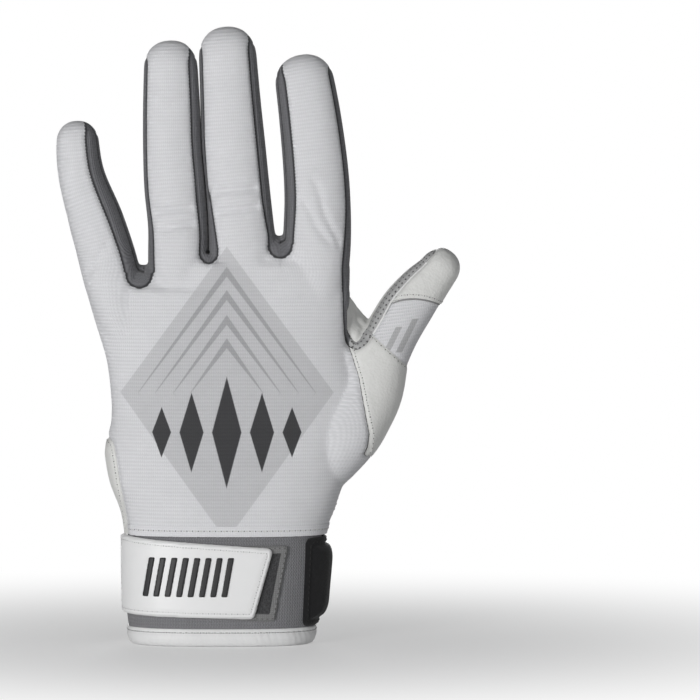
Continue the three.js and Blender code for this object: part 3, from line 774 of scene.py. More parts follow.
def over_dome(turn, dome):
    """A seam's angle as it runs straight on over a narrowing fingertip, and its share of half width."""
    power = LIMB_ROUNDNESS
    sin, cos = np.sin(turn), np.cos(turn)
    across = sin / (sin**power + np.abs(cos) ** power) ** (1 / power)
    left = np.maximum(dome**power - across**power, 0) ** (1 / power)
    return np.arctan2(across, np.sign(cos) * left), across


def finger_radius(p):
    return (p.wide + p.deep) * 0.49 * p.dome


def gusset_lines(p):
    """The back and palm seams of the gussets and each point's own place, palmward round its finger."""
    angles = np.radians([[GUSSET_ANGLES[name, side] for side in (-1, 1)] for name in FINGERS])
    mine = angles[p.owner, (p.u > 0).astype(int)]
    rise = ease(p.z, 148, 172)
    back_turn, across = over_dome(mine[:, 0] * (1 - rise) + mine[:, 1] * rise, p.dome)
    palm_turn = over_dome(mine[:, 2], p.dome)[0]
    closing = ease(p.dome, across + 0.04, across - 0.12)
    radius = finger_radius(p)
    back, palm = ((turn - math.pi / 2) * radius * (1 - closing) + TIP_SEAM * closing
                  for turn in (back_turn, palm_turn))
    return back, palm, (p.turn - math.pi / 2) * radius


def hand_edges(p):
    """Positive on the back of the hand, and positive on its palm, each zero on its own side seam."""
    pinky_side = HAND_SEAM - p.y
    heights, seams = np.array(THUMB_SIDE_SEAM).T
    low = np.interp(p.z, heights, seams)
    crotch = ease(p.z, 104, 110) * ease(p.x, 57, 54)
    back_seam = low * (1 - crotch) + CROTCH_BACK_SEAM * crotch
    drop = 3.4 * ease(p.z, 135, 124) * ease(p.x, 51, 49)
    palm_seam = low * (1 - crotch) + (CROTCH_PALM_SEAM + 0.9 * ease(p.x, 49, 55) - drop) * crotch
    back = soft_min(-p.strip, back_seam - p.y, 1.0)
    width = STRIP_WIDTH - 2.2 * ease(p.z, 114, 121) * ease(p.x, 53, 49)
    start = STRIP_START + 4 * ease(p.z, 127, 132)
    palm = np.maximum(p.y - palm_seam, np.minimum(p.strip - width, (p.x - start) * 1.2))
    thumb_side = p.side > 0
    return np.where(thumb_side, back, pinky_side), np.where(thumb_side, palm, -pinky_side)


# The foot of a web as seen on the back and on the palm: share of the web's width, lift, height of its taper
WEB_FEET = {-1: (1.0, 0.0, 22), 1: (0.6, 1.5, 13)}


def web_field(p, way):
    """Distance to the rounded foot of the nearest web, which tapers upwards; negative inside it."""
    share, lift, taper = WEB_FEET[way]
    nearest = np.full(len(p.x), 50.0)
    for x, seam_z, _, half_width in WEBS:
        foot = seam_z + half_width + lift
        away = np.hypot(p.x - x, np.minimum(p.z - foot, 0))
        nearest = np.minimum(nearest, away - half_width * share * (1 - np.maximum(p.z - foot, 0) / taper))
    return nearest


def hand_weight(p):
    """1 on the hand, whose seams differ from those of the fingers, and 0 on the fingers."""
    return np.where(p.x > 40, 1 - ease(p.z, 140, 152), 1 - ease(p.z, 130, 140))


def below_web(p):
    """Grows between two fingers below the foot of their web, where no gusset runs."""
    feet = np.array([0.0] + [seam_z + half_width for _, seam_z, _, half_width in WEBS] + [0.0])
    foot = feet[p.owner + (p.u > 0)]
    high = np.where(p.v < 0, foot + 1.5, foot + 4)
    return 16 * ease(p.z, high, foot - 4)


def back_field(p):
    """Positive on the back of the hand and fingers, zero on the seam that ends it."""
    back, palm, level = gusset_lines(p)
    hand = hand_weight(p)
    line = back - level + below_web(p) * (p.v < 0)
    edge = line * (1 - hand) + hand_edges(p)[0] * hand
    return soft_min(edge, np.where(p.y < 1, web_field(p, -1), 50.0), 1.6)


def palm_field(p):
    """Positive on the palm side, zero on its seam."""
    back, palm, level = gusset_lines(p)
    hand = hand_weight(p)
    line = level - palm + below_web(p) * (p.v > 0)
    edge = line * (1 - hand) + hand_edges(p)[1] * hand
    return soft_min(edge, np.where(p.y > 1, web_field(p, 1), 50.0), 0.8)


def thumb_back_field(p):
    return soft_min(-p.strip, THUMB_SEAM - p.tv, 0.5)


def thumb_palm_field(p):
    return np.maximum(p.tv - THUMB_SEAM, p.strip - STRIP_WIDTH - 0.6 * ease(thumb_past(p), 0, 6))


def mesh_field(p):
    """Positive on the perforated part of the strip in the crotch, negative up the index finger's side."""
    return p.x - 46.7 - 0.25 * (p.z - 113)


def cap_field(p):
    """Positive on the leather cap at the end of the thumb."""
    return p.z - (131.9 + 1.7 * (1 - ((p.x - 74) / 8.5) ** 2) - 0.09 * (p.x - 66))


def knit_edge_field(p):
    """Positive on the leather at the base of the thumb, negative on the knit."""
    heights, edges = np.array(KNIT_EDGE).T
    return (p.x - np.interp(p.z, heights, edges)) * 0.95


def gore_field(p):
    """Positive on the leather gore at the pinky side of the wrist."""
    (z0, x0), (z1, x1) = GORE_SEAM
    edge = x0 + (x1 - x0) * (p.z - z0) / (z1 - z0)
    return soft_min(edge - p.x, GORE_TOP - p.z, 3.0)


def slit_field(p):
    """Positive on the stretch gusset at the thumb side of the palm's wrist."""
    middle = 44.4 - 0.012 * (p.z - 44) ** 2
    span = ease(p.z, 65, 46) * 3.6
    reach = np.abs((p.y - 9.5) * 0.8 + (p.x - middle) * -0.2)
    return np.where(p.x > 20, span - reach, -20.0)


def band_field(p):
    """Positive below the top of the hemmed band at the wrist."""
    return BAND_HIGH - p.z


def box_distance(u, w, width, length, corner):
    """Distance to a rounded rectangle, negative inside."""
    a = np.abs(u) - width / 2 + corner
    b = np.abs(w) - length / 2 + corner
    return np.hypot(np.maximum(a, 0), np.maximum(b, 0)) + np.minimum(np.maximum(a, b), 0) - corner


def smooth_outline(outline):
    """A closed smooth line through the given corners."""
    closed = np.array([*outline, outline[0], outline[1], outline[2]], float)
    at = np.arange(len(closed), dtype=float)
    return smooth_rows(at, closed, np.linspace(1, len(outline) + 1, len(outline) * 8, endpoint=False))


def finger_pad_field(name, part):
    """Distance to the outline of a finger pad, negative inside."""
    height, width, length, corner = FINGER_PADS[name][part]
    middle = LIMBS[name].near_height(height)

    def field(p):
        d = box_distance(p.u, p.s - middle, width, length, corner)
        return np.where((p.owner == FINGERS.index(name)) & (p.v > 0), d, 30.0)

    return field


def palm_pad_field(p):
    return np.where(p.y > 2, line_distance(p.x, p.z, smooth_outline(PALM_PAD)), 30.0)


PAD_FIELDS = {f"{name}_pad_{part}": finger_pad_field(name, part)
              for name, parts in FINGER_PADS.items() for part in parts}
PAD_FIELDS["palm_pad"] = palm_pad_field

SNAP = 0.07


def finger_root_field(name):
    def field(p):
        return p.z - ROOTS[name]
    return field


def finger_split_field(name):
    limb = LIMBS[name]
    place = limb.near_height(PIECE_SPLIT[name])

    def field(p):
        return p.s - place
    return field


def owned_by(name):
    index = FINGERS.index(name)

    def domain(p):
        return (p.owner == index) & (p.x < 52)
    return domain


def thumb_split_field(p):
    return thumb_past(p) - THUMB_SPLIT


class Skin:
    """The glove's outer surface as plain arrays, cut along the lines where fields are zero."""

    def __init__(self, points, faces):
        self.points = points
        self.faces = faces
        self.places = places_of(points)

    def values(self, field):
        found = field(self.places)
        return np.where(np.abs(found) < SNAP, 0, found)

    def cut(self, field, domain=None):
        inside = np.ones(len(self.points), bool) if domain is None else domain(self.places)
        a, b, share, self.faces = cut_where_zero(self.values(field), self.faces, inside)
        fresh = self.points[a] * (1 - share) + self.points[b] * share
        self.points = np.concatenate([self.points, fresh])
        extra = places_of(fresh)
        self.places = Places({key: np.concatenate([row, extra[key]]) for key, row in self.places.items()})


def cut_where_zero(values, faces, inside):
    """Splits triangles where a value changes sign: the ends and share of each new point, and the faces."""
    corner = values[faces]
    mixed = inside[faces].all(1) & (corner.min(1) < 0) & (corner.max(1) > 0)
    total = len(values)
    keys = []
    for k in range(3):
        a, b = faces[mixed, k], faces[mixed, (k + 1) % 3]
        crossing = values[a] * values[b] < 0
        keys.append((np.minimum(a, b) * total + np.maximum(a, b))[crossing])
    keys = np.unique(np.concatenate(keys))
    a, b = keys // total, keys % total
    share = (values[a] / (values[a] - values[b]))[:, None] if len(keys) else np.zeros((0, 1))
    return a, b, share, split_faces(faces, keys, total) if len(keys) else faces


def split_faces(faces, keys, total):
    """Triangles split wherever one of their edges got a new point."""
    made = []
    marks = np.full((len(faces), 3), -1)
    for k in range(3):
        a, b = faces[:, k], faces[:, (k + 1) % 3]
        edge = np.minimum(a, b) * total + np.maximum(a, b)
        spot = np.clip(np.searchsorted(keys, edge), 0, len(keys) - 1)
        marks[:, k] = np.where(keys[spot] == edge, total + spot, -1)
    count = (marks >= 0).sum(1)
    made.append(faces[count == 0])
    for turn in range(3):
        v = np.roll(faces, -turn, axis=1)
        m = np.roll(marks, -turn, axis=1)
        one = (count == 1) & (m[:, 0] >= 0)
        made.append(np.stack([v[one, 0], m[one, 0], v[one, 2]], axis=1))
        made.append(np.stack([m[one, 0], v[one, 1], v[one, 2]], axis=1))
        two = (count == 2) & (m[:, 2] < 0)
        made.append(np.stack([m[two, 0], v[two, 1], m[two, 1]], axis=1))
        made.append(np.stack([v[two, 0], m[two, 0], m[two, 1]], axis=1))
        made.append(np.stack([v[two, 0], m[two, 1], v[two, 2]], axis=1))
    three = count == 3
    v, m = faces[three], marks[three]
    made.append(m)
    for k in range(3):
        made.append(np.stack([v[:, k], m[:, k], m[:, (k + 2) % 3]], axis=1))
    return np.concatenate(made)


def sewn_skin(voxel):
    """The skin, cut along every seam and every line where one body takes over from another."""
    skin = Skin(*raw_skin(voxel))

    def near_hand(p):
        return thumb_past(p) < 1.5

    def on_thumb(p):
        return thumb_past(p) > -1.5

    skin.cut(lambda p: p.z - BAND_LOW)
    skin.cut(thumb_past, within(x=(48, FAR)))
    skin.cut(back_field, near_hand)
    skin.cut(palm_field, near_hand)
    skin.cut(finger_root_field("pinky"), within(x=(-FAR, -26)))
    skin.cut(finger_root_field("ring"), within(x=(-36, 50)))
    for k, (x, seam_z, saddle_z, _) in enumerate(WEBS):
        skin.cut(lambda p: p[f"between_{k}"], within(x=(x - 5, x + 5), z=(seam_z - 3, saddle_z + 3)))
    for name in FINGERS:
        skin.cut(finger_split_field(name), owned_by(name))
    skin.cut(thumb_back_field, on_thumb)
    skin.cut(thumb_palm_field, on_thumb)
    skin.cut(cap_field, lambda p: on_thumb(p) & (p.tv < 3))
    skin.cut(thumb_split_field, on_thumb)
    skin.cut(mesh_field, within(x=(44, 54), y=(-FAR, 9), z=(109, 128)))
    by_thumb = within(x=(40, FAR), y=(-FAR, HAND_SEAM + 1), z=(-FAR, 122))
    skin.cut(knit_edge_field, lambda p: by_thumb(p) & near_hand(p))
    skin.cut(gore_field, within(x=(-FAR, -20), z=(-FAR, 90)))
    skin.cut(slit_field, within(x=(20, FAR), y=(1, FAR), z=(-FAR, 70)))
    skin.cut(band_field, within(z=(-FAR, 52)))
    for field in PAD_FIELDS.values():
        skin.cut(field, lambda p: field(p) < 25)
    return skin


def label_faces(skin):
    """The name of the panel that each face belongs to."""
    def of(field):
        return skin.values(field)[skin.faces].mean(1)

    x, y, z, u = (skin.places[key][skin.faces].mean(1) for key in "xyzu")
    owner = np.select([of(lambda p: p[f"between_{k}"]) < 0 for k in range(3)], [0, 1, 2], 3)
    labels = np.full(len(skin.faces), "hand_back", dtype="<U40")
    back = of(back_field) > 0
    palm = ~back & (of(palm_field) > 0)
    side = ~back & ~palm
    labels[palm] = "palm"
    labels[side] = "crotch_strip"
    labels[side & (z > 130) & (x < 30)] = "web_strip"
    labels[side & (x > 45) & (z < 126) & (of(mesh_field) > 0)] = "crotch_mesh"
    labels[side & ((z < 110) | (x < -45))] = "palm"
    labels[back & (of(knit_edge_field) > 0) & (z < 118.5) & (x > 40)] = "thumb_base"
    labels[palm & (of(slit_field) > 0) & (z < 68) & (y > 1)] = "slit_gusset"
    labels[(of(band_field) > 0) & (z < BAND_HIGH + 2) & (labels != "slit_gusset")] = "wrist_band"
    labels[(of(gore_field) > 0) & (z < 85)] = "wrist_gore"
    past = of(thumb_past) > 0
    for index, name in enumerate(FINGERS):
        mine = (owner == index) & (of(finger_root_field(name)) > 0) & ~past
        top = of(finger_split_field(name)) > 0
        outer_side = "palm" if name == "pinky" else "side_pinky"
        for part, rows in (("lower", mine & ~top), ("upper", mine & top)):
            labels[rows & back] = f"{name}_back_{part}"
            labels[rows & palm] = f"{name}_palm_{part}"
            labels[rows & side & (u > 0)] = f"{name}_side_thumb_{part}"
            labels[rows & side & (u <= 0)] = f"{name}_{outer_side}_{part}"
        for part in FINGER_PADS[name]:
            key = f"{name}_pad_{part}"
            labels[mine & (of(PAD_FIELDS[key]) < 0)] = key
    labels[(labels == "palm") & (of(palm_pad_field) < 0)] = "palm_pad"
    knuckle, front, top = (of(field) > 0 for field in (thumb_back_field, thumb_palm_field, thumb_split_field))
    for part, rows in (("lower", past & ~top), ("upper", past & top)):
        labels[rows] = f"thumb_strip_{part}"
        labels[rows & front] = f"thumb_palm_{part}"
        labels[rows & knuckle] = f"thumb_knuckle_{part}"
    labels[past & knuckle & (of(cap_field) > 0)] = "thumb_cap"
    labels[of(lambda p: p.z - BAND_LOW) < 0] = "waste"
    return labels


# What draws the surface in and swells it out


def groove(distance, depth, width):
    return -depth * np.exp(-((distance / width) ** 2))


def crease(p, places, depth, width=1.3):
    """Wrinkles across a finger at some lengths along it."""
    total = np.zeros(len(p.s))
    for place in places:
        wobble = 0.7 * np.sin(p.u * 0.42 + place)
        total += groove(p.s - place - wobble, depth, width)
    return total


def fold_distance(p):
    """Distance to the fold that runs along some of the gussets."""
    turned = np.abs(p.turn - math.radians(GUSSET_FOLD)) * finger_radius(p)
    found = np.full(len(p.x), 30.0)
    for name, side in FOLDED_GUSSETS:
        mine = (p.owner == FINGERS.index(name)) & (p.u * side > 0) & (p.z > ROOTS[name] + 4)
        found = np.where(mine, turned, found)
    return found


def soft_folds(p):
    """Shallow folds in the knit, each fading towards its ends."""
    total = np.zeros(len(p.x))
    for (x0, z0), (x1, z1) in FOLDS:
        length = math.hypot(x1 - x0, z1 - z0)
        ahead = ((p.x - x0) * (x1 - x0) + (p.z - z0) * (z1 - z0)) / length
        aside = ((p.x - x0) * (z1 - z0) - (p.z - z0) * (x1 - x0)) / length
        aside = aside + 0.5 * np.sin(ahead * 0.3)
        depth = 0.6 + 0.6 * (abs(x1 - x0) / length) ** 3
        total += groove(aside, depth, 1.5) * ease(ahead, -1.5, 3) * ease(ahead, length + 1.5, length - 3)
    return total


def steepness(points, faces, values):
    """How fast a value changes over the surface, at each point."""
    p, q, r = (points[faces[:, k]] for k in range(3))
    a, b, c = (values[faces[:, k]][:, None] for k in range(3))
    normal = np.cross(q - p, r - p)
    area = (normal**2).sum(1)
    slope = np.cross(normal, a * (r - q) + b * (p - r) + c * (q - p))
    found = np.linalg.norm(slope, axis=1)
    top, low = (sum(np.bincount(faces[:, k], row, len(points)) for k in range(3)) for row in (found, area))
    return top / np.maximum(low, 1e-9)


def distance_to(field, skin):
    """A field's value turned into a distance on the surface."""
    values = field(skin.places)
    return values / np.clip(steepness(skin.points, skin.faces, values), 0.4, 3.0)


def swell(p, points, sizes, back, palm):
    """How far each point of the skin moves out, in millimetres."""
    off_thumb, on_thumb = thumb_past(p) < 0.4, thumb_past(p) > -0.4
    seams = np.minimum(groove(back, sizes.pinch, 1.1), groove(palm, sizes.pinch, 1.1)) * off_thumb
    seams *= 1 - 0.95 * ease(p.dome, 1.0, 0.88) * (p.z > 150)
    for field, share, width, where in (
        (thumb_back_field, 1.0, 1.0, on_thumb), (thumb_palm_field, 1.0, 1.0, on_thumb),
        (thumb_past, 0.6, 0.9, p.tv < 2), (gore_field, 1.0, 1.0, within(x=(-FAR, -20), z=(-FAR, 84))(p)),
        (knit_edge_field, 1.2, 1.0, within(x=(40, FAR), z=(70, 117))(p) & (back > -0.5) & off_thumb),
    ):
        seams = np.minimum(seams, groove(field(p), sizes.pinch * share, width) * where)
    cushion = np.zeros(len(points))
    for field in PAD_FIELDS.values():
        d = field(p)
        rise = np.clip((-d - 0.3) / PAD_SHOULDER, 0, 1)
        cushion += np.where(d < 0, PAD_RISE * np.sqrt(1 - (1 - rise) ** 2), 0) + groove(d, 0.35, 0.8)
    leather = ease(palm, 0.0, 4.0) * off_thumb
    lumps = soft_noise(points, 9.0, 3) * 0.22 + soft_noise(points * [1.0, 1.0, 2.2], 5.0, 4) * 0.16
    knit = ease(back, 0.0, 4.0) * off_thumb
    folds = soft_noise(points * [0.6, 0.6, 1.6], 11.0, 5) * 0.2
    creases = np.zeros(len(points))
    for index, name in enumerate(FINGERS):
        mine = (p.owner == index) & (p.z > ROOTS[name] - 4)
        bend, root = (LIMBS[name].near_height(heights[name]) for heights in (BENDS, ROOTS))
        places = [root + 3.4, root + 6.0, bend - 0.5, bend + 2.2]
        creases += crease(p, places, 0.34) * mine * ease(palm, 0.5, 3.5)
        creases += crease(p, [bend - 1.5, bend + 1.0], 0.12) * mine * ease(back, 1.0, 4.0)
    creases += soft_folds(p) * ease(back, 0.6, 3.0) * (p.y < 0)
    creases += groove(fold_distance(p), 0.5, 0.7) * ease(back, -0.6, -1.6) * ease(p.dome, 0.7, 0.9)
    return seams + cushion + lumps * leather + folds * knit + creases


LIFTS = {"thumb_cap": 0.55, "wrist_band": 0.45, "thumb_base": 0.3, "wrist_gore": 0.3}


class Panel:
    """One panel's outer surface with the places and normals of its points."""

    def __init__(self, faces, places, points, normals):
        used, faces = np.unique(faces, return_inverse=True)
        self.faces = faces.reshape(-1, 3)
        self.places = places.picked(used)
        self.points, self.normals = points[used], normals[used]

    def split(self, chosen):
        """The same panel with only some of its faces."""
        return Panel(self.faces[chosen], self.places, self.points, self.normals)


class Sewing:
    """The cut and shaped skin, made once and shared by all the pieces that are sewn from it."""

    made = None

    def __init__(self, sizes):
        self.skin = sewn_skin(sizes.voxel)
        labels = label_faces(self.skin)
        normals = point_normals(self.skin.points, self.skin.faces)
        back, palm = (distance_to(field, self.skin) for field in (back_field, palm_field))
        rise = swell(self.skin.places, self.skin.points, sizes, back, palm)
        self.points = self.skin.points + normals * rise[:, None]
        self.normals = point_normals(self.points, self.skin.faces)
        places = self.skin.places
        # The cloth's third number: distance to the nearest seam, and inside a gusset to its fold. The knit and gusset
        # finishes darken by it as painted shade; it is 9 where it is not used.
        start, end, level = gusset_lines(places)
        near = (places.z > 135) & ((end - start > 0.8) | (web_field(places, -1) < 3))
        inside = np.maximum(np.maximum(back, palm), -fold_distance(places) - 0.1)
        places["edge"] = np.where(back < 0, inside, np.where(near, back, 9.0))
        self.panels = {}
        for name in map(str, np.unique(labels)):
            panel = Panel(self.skin.faces[labels == name], places, self.points, self.normals)
            panel.points += panel.normals * LIFTS.get(name, 0.0)
            self.panels[name] = panel

    @classmethod
    def shared(cls):
        if cls.made is None:
            cls.made = Sewing(bpy.context.scene.glove_sizes)
        return cls.made


# Meshes with walls


class Cloth:
    """Closed pieces of cloth gathered into one mesh: points, triangles, corner normals and pattern places."""

    def __init__(self):
        self.points, self.faces, self.corners, self.cloth, self.place = [], [], [], [], []
        self.count = 0

    def add(self, points, faces, corners, cloth, place=None):
        self.points.append(points)
        self.faces.append(faces + self.count)
        self.corners.append(corners)
        self.cloth.append(cloth)
        self.place.append(points if place is None else place)
        self.count += len(points)

    def walled(self, outer, inner, faces, normals, cloth, place=None):
        """A closed wall between an outer and an inner surface that share their faces."""
        count = len(outer)
        points = np.concatenate([outer, inner])
        edges = np.concatenate([faces[:, [0, 1]], faces[:, [1, 2]], faces[:, [2, 0]]])
        code, mirror = edges[:, 0] * count + edges[:, 1], edges[:, 1] * count + edges[:, 0]
        a, b = edges[~np.isin(code, mirror)].T
        rim = np.concatenate([np.stack([b, a, a + count], axis=1), np.stack([b, a + count, b + count], axis=1)])
        every = np.concatenate([faces, faces[:, ::-1] + count, rim])
        p, q, r = (points[rim[:, k]] for k in range(3))
        flat = np.repeat(unit(np.cross(q - p, r - p)), 3, axis=0)
        within_wall = -normals[faces[:, ::-1]].reshape(-1, 3)
        corners = np.concatenate([normals[faces].reshape(-1, 3), within_wall, flat])
        place = outer if place is None else place
        self.add(points, every, corners, np.concatenate([cloth, cloth]), np.concatenate([place, place]))

    def panel(self, panel, wall):
        cloth = np.stack([panel.places[key] for key in ("across", "along", "edge")], axis=1)
        place = np.stack([panel.places[key] for key in "xyz"], axis=1)
        self.walled(panel.points, panel.points - panel.normals * wall, panel.faces, panel.normals, cloth, place)

    def made(self, name):
        """The Blender object, with its place in its mesh."""
        mesh = bpy.data.meshes.new(name)
        points = (np.concatenate(self.points) + SHIFT) * MM
        faces = np.concatenate(self.faces).astype(np.int32)
        mesh.vertices.add(len(points))
        mesh.vertices.foreach_set("co", points.astype(np.float32).ravel())
        mesh.loops.add(faces.size)
        mesh.loops.foreach_set("vertex_index", faces.ravel())
        mesh.polygons.add(len(faces))
        mesh.polygons.foreach_set("loop_start", np.arange(0, faces.size, 3, dtype=np.int32))
        mesh.polygons.foreach_set("use_smooth", np.ones(len(faces), bool))
        mesh.update(calc_edges=True)
        for key, rows in (("cloth", self.cloth), ("place", self.place)):
            layer = mesh.attributes.new(key, "FLOAT_VECTOR", "POINT")
            layer.data.foreach_set("vector", np.concatenate(rows).astype(np.float32).ravel())
        mesh.normals_split_custom_set(np.concatenate(self.corners).tolist())
        return linked(name, mesh)

    def piece(self, name, finish, slot, ride, replaces=()):
        """The finished piece, with what it stands for and what it moves with."""
        made = self.made(name)
        made.data.materials.append(finish_named(finish))
        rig.slot(made, slot)
        if replaces:
            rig.replaces(made, *replaces)
        ride_with(made, ride)
        return made


def metres(point):
    return tuple(float(v) for v in (np.asarray(point) + SHIFT) * MM)


def thumb_ends(reaches):
    """Places ahead of the thumb's root, between which a blend runs."""
    (x, z), (ahead_x, ahead_z) = thumb_line()
    return [metres((x + ahead_x * reach, 0, z + ahead_z * reach)) for reach in reaches]


def ride_with(made, ride):
    """Says which body a piece moves with, or between which two bodies it bends."""
    limb, _, part = ride.partition("_")
    if ride == "thumb_root":
        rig.blend(made, "hand", "thumb_lower", *thumb_ends(THUMB_BLEND))
    elif ride == "thumb_tip":
        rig.blend(made, "thumb_lower", "thumb_upper", *thumb_ends(THUMB_BEND_BLEND))
    elif part == "root":
        ends = [metres((0, 0, ROOTS[limb] + ahead)) for ahead in (0, ROOT_BLEND)]
        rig.blend(made, "hand", f"{limb}_lower", *ends)
    elif part == "tip":
        line = LIMBS[limb]
        centre, along = (row[0] for row in line.at(np.array([line.near_height(BENDS[limb])]))[:2])
        ends = [metres(centre + along * ahead) for ahead in BEND_BLEND]
        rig.blend(made, f"{limb}_lower", f"{limb}_upper", *ends)
    else:
        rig.ride(made, ride)


# Finishes


class Nodes:
    """A node tree being written."""

    def __init__(self, owner):
        owner.use_nodes = True
        self.tree = owner.node_tree
        self.tree.nodes.clear()

    def node(self, kind, settings, sockets):
        made = self.tree.nodes.new(kind)
        for key, value in settings.items():
            setattr(made, key, value)
        for key, value in sockets.items():
            if isinstance(value, Term):
                value = value.socket
            if isinstance(value, bpy.types.NodeSocket):
                self.tree.links.new(value, made.inputs[key])
            else:
                made.inputs[key].default_value = value
        return made


class Term:
    """A shader value that Python's sums, products and powers add Math nodes to."""

    def __init__(self, finish, socket):
        self.finish = finish
        self.socket = socket

    def math(self, operation, first, second=None):
        sockets = {0: first} if second is None else {0: first, 1: second}
        made = self.finish.node("ShaderNodeMath", {"operation": operation}, sockets)
        return Term(self.finish, made.outputs[0])

    def __add__(self, other):
        return self.math("ADD", self, other)

    def __radd__(self, other):
        return self.math("ADD", other, self)

    def __sub__(self, other):
        return self.math("SUBTRACT", self, other)

    def __rsub__(self, other):
        return self.math("SUBTRACT", other, self)

    def __mul__(self, other):
        return self.math("MULTIPLY", self, other)

    def __rmul__(self, other):
        return self.math("MULTIPLY", other, self)

    def __truediv__(self, other):
        return self.math("DIVIDE", self, other)

    def __pow__(self, other):
        return self.math("POWER", self, other)

    def __abs__(self):
        return self.math("ABSOLUTE", self)

    def sine(self):
        return self.math("SINE", self)

    def greater(self, other):
        return self.math("MAXIMUM", self, other)

    def wave(self, pitch, turn=0.0):
        """From 0 to 1 and back over each pitch."""
        return (self * (2 * math.pi / pitch) + turn).sine() * 0.5 + 0.5

    def ramp(self, low, high):
        """0 at low, 1 at high and smooth between."""
        made = self.finish.node("ShaderNodeMapRange", {"interpolation_type": "SMOOTHSTEP"},
                                {"Value": self, "From Min": low, "From Max": high})
        return Term(self.finish, made.outputs[0])


class Finish(Nodes):
    """A material being written, with the terms that its maths is made of."""

    def __init__(self, name):
        self.material = bpy.data.materials.new(name)
        super().__init__(self.material)
        self.cloth = self.attribute("cloth")
        self.place = self.attribute("place")

    def attribute(self, key):
        return self.node("ShaderNodeAttribute", {"attribute_name": key}, {}).outputs["Vector"]

    def parts(self, vector):
        made = self.node("ShaderNodeSeparateXYZ", {}, {0: vector})
        return [Term(self, made.outputs[k]) for k in range(3)]

    def stretched(self, vector, *scale):
        made = self.node("ShaderNodeVectorMath", {"operation": "MULTIPLY"}, {0: vector, 1: scale})
        return made.outputs[0]

    def noise(self, size, detail=2.0, vector=None):
        """Soft lumps of a size in millimetres, from 0 to 1."""
        vector = self.place if vector is None else vector
        made = self.node("ShaderNodeTexNoise", {}, {"Vector": vector, "Scale": 1 / size, "Detail": detail})
        return Term(self, made.outputs[0])

    def cells(self, size, vector=None):
        vector = self.place if vector is None else vector
        made = self.node("ShaderNodeTexVoronoi", {}, {"Vector": vector, "Scale": 1 / size})
        return Term(self, made.outputs["Distance"])

    def mixed(self, share, first, second):
        made = self.node("ShaderNodeMix", {"data_type": "RGBA"}, {0: share, 6: first, 7: second})
        return made.outputs[2]

    def toned(self, colour, tone):
        colour = colour[:3] if isinstance(colour, tuple) else colour
        made = self.node("ShaderNodeVectorMath", {"operation": "SCALE"}, {0: colour, "Scale": tone})
        return made.outputs[0]

    def surface(self, colour, roughness, height, specular, sheen=0.0, sheen_roughness=0.5):
        """Ends the material with its shader; height is in millimetres."""
        bump = self.node("ShaderNodeBump", {}, {"Distance": MM, "Strength": 1.0, "Height": height})
        shader = self.node("ShaderNodeBsdfPrincipled", {}, {
            "Base Color": colour, "Roughness": roughness, "Normal": bump.outputs[0],
            "Specular IOR Level": specular, "Sheen Weight": sheen, "Sheen Roughness": sheen_roughness,
        })
        self.tree.nodes.active = self.node("ShaderNodeOutputMaterial", {}, {"Surface": shader.outputs[0]})
        return self.material


FINISHES = {}


def finish_named(name):
    """Each finish is written once, the first time a piece asks for it."""
    if name not in FINISHES:
        FINISHES[name] = FINISH_MAKERS[name]()
    return FINISHES[name]


def shade(colour, amount=1.0):
    return tuple(c * amount for c in linear(colour)) + (1.0,)


def colours():
    return bpy.context.scene.glove_colours


FIELD_MIDDLE = (0.5, 97.0)
FIELD_REACH = (41.0, 56.0)
LOZENGES = [(0.5, 21.0, 5.6), (-13.0, 15.0, 4.6), (14.0, 15.0, 4.6), (-24.5, 9.5, 3.6), (25.5, 9.5, 3.6)]
LOZENGE_HEIGHT = 82.0
STRIPE_OFFSETS = (0.34, 0.5, 0.67, 0.83)


def printed(finish, base):
    """The plain print on the back of the hand: a pale rhombus, tapering stripes and a row of lozenges."""
    x, y, z = finish.parts(finish.place)
    side = abs(x - FIELD_MIDDLE[0])
    ahead = z - FIELD_MIDDLE[1]
    reach = side / FIELD_REACH[0] + abs(ahead) / FIELD_REACH[1]
    inside = reach.ramp(1.006, 0.994)
    stripes = 0.0
    for offset in STRIPE_OFFSETS:
        line = abs(reach - offset)
        width = (1 - side / (FIELD_REACH[0] * offset)) * 0.03 + 0.004
        band = (width - line).ramp(-0.006, 0.006) * (ahead.ramp(-2, 2))
        stripes = band.greater(stripes)
    colour = finish.mixed(inside * 0.5, base, shade((0.66, 0.66, 0.67)))
    colour = finish.mixed(stripes * inside * 0.55, colour, shade((0.5, 0.5, 0.51)))
    dark = 0.0
    for middle, tall, wide in LOZENGES:
        d = abs(x - middle) / wide + abs(z - LOZENGE_HEIGHT) / tall
        dark = d.ramp(1.05, 0.97).greater(dark)
    return finish.mixed(dark * 0.93, colour, shade((0.11, 0.11, 0.12)))


def knit_finish():
    finish = Finish("knit")
    across, along, edge = finish.parts(finish.cloth)
    loops = across.wave(0.86)
    rows = (along + loops * 0.24).wave(1.42)
    fuzz = finish.noise(0.45)
    height = rows * 0.1 + loops * rows * 0.06 + fuzz * 0.03
    tone = rows * 0.09 + loops * 0.07 + rows * loops * 0.04 + fuzz * 0.11 + finish.noise(7.0) * 0.08 + 0.81
    # Painted shade: next to a gusset seam the knit turns a grey darker than the gusset itself, with a wavy border.
    painted_seam_shade = (edge - along.wave(1.3) * 0.3).ramp(0.34, 0.12)
    base = finish.mixed(painted_seam_shade, printed(finish, shade(colours().knit)), shade(colours().gusset, 0.8))
    return finish.surface(finish.toned(base, tone), 0.82, height, 0.25, 0.15)


def band_finish():
    """The folded and stitched band of knit at the wrist."""
    finish = Finish("knit band")
    across, along, edge = finish.parts(finish.cloth)
    rows, loops = along.wave(0.9), across.wave(0.8)
    tone = rows * 0.06 + loops * 0.05 + finish.noise(3.0) * 0.06 + 0.9
    colour = finish.toned(shade(colours().knit, 1.04), tone)
    return finish.surface(colour, 0.8, rows * 0.07 + loops * 0.05, 0.25, 0.1)


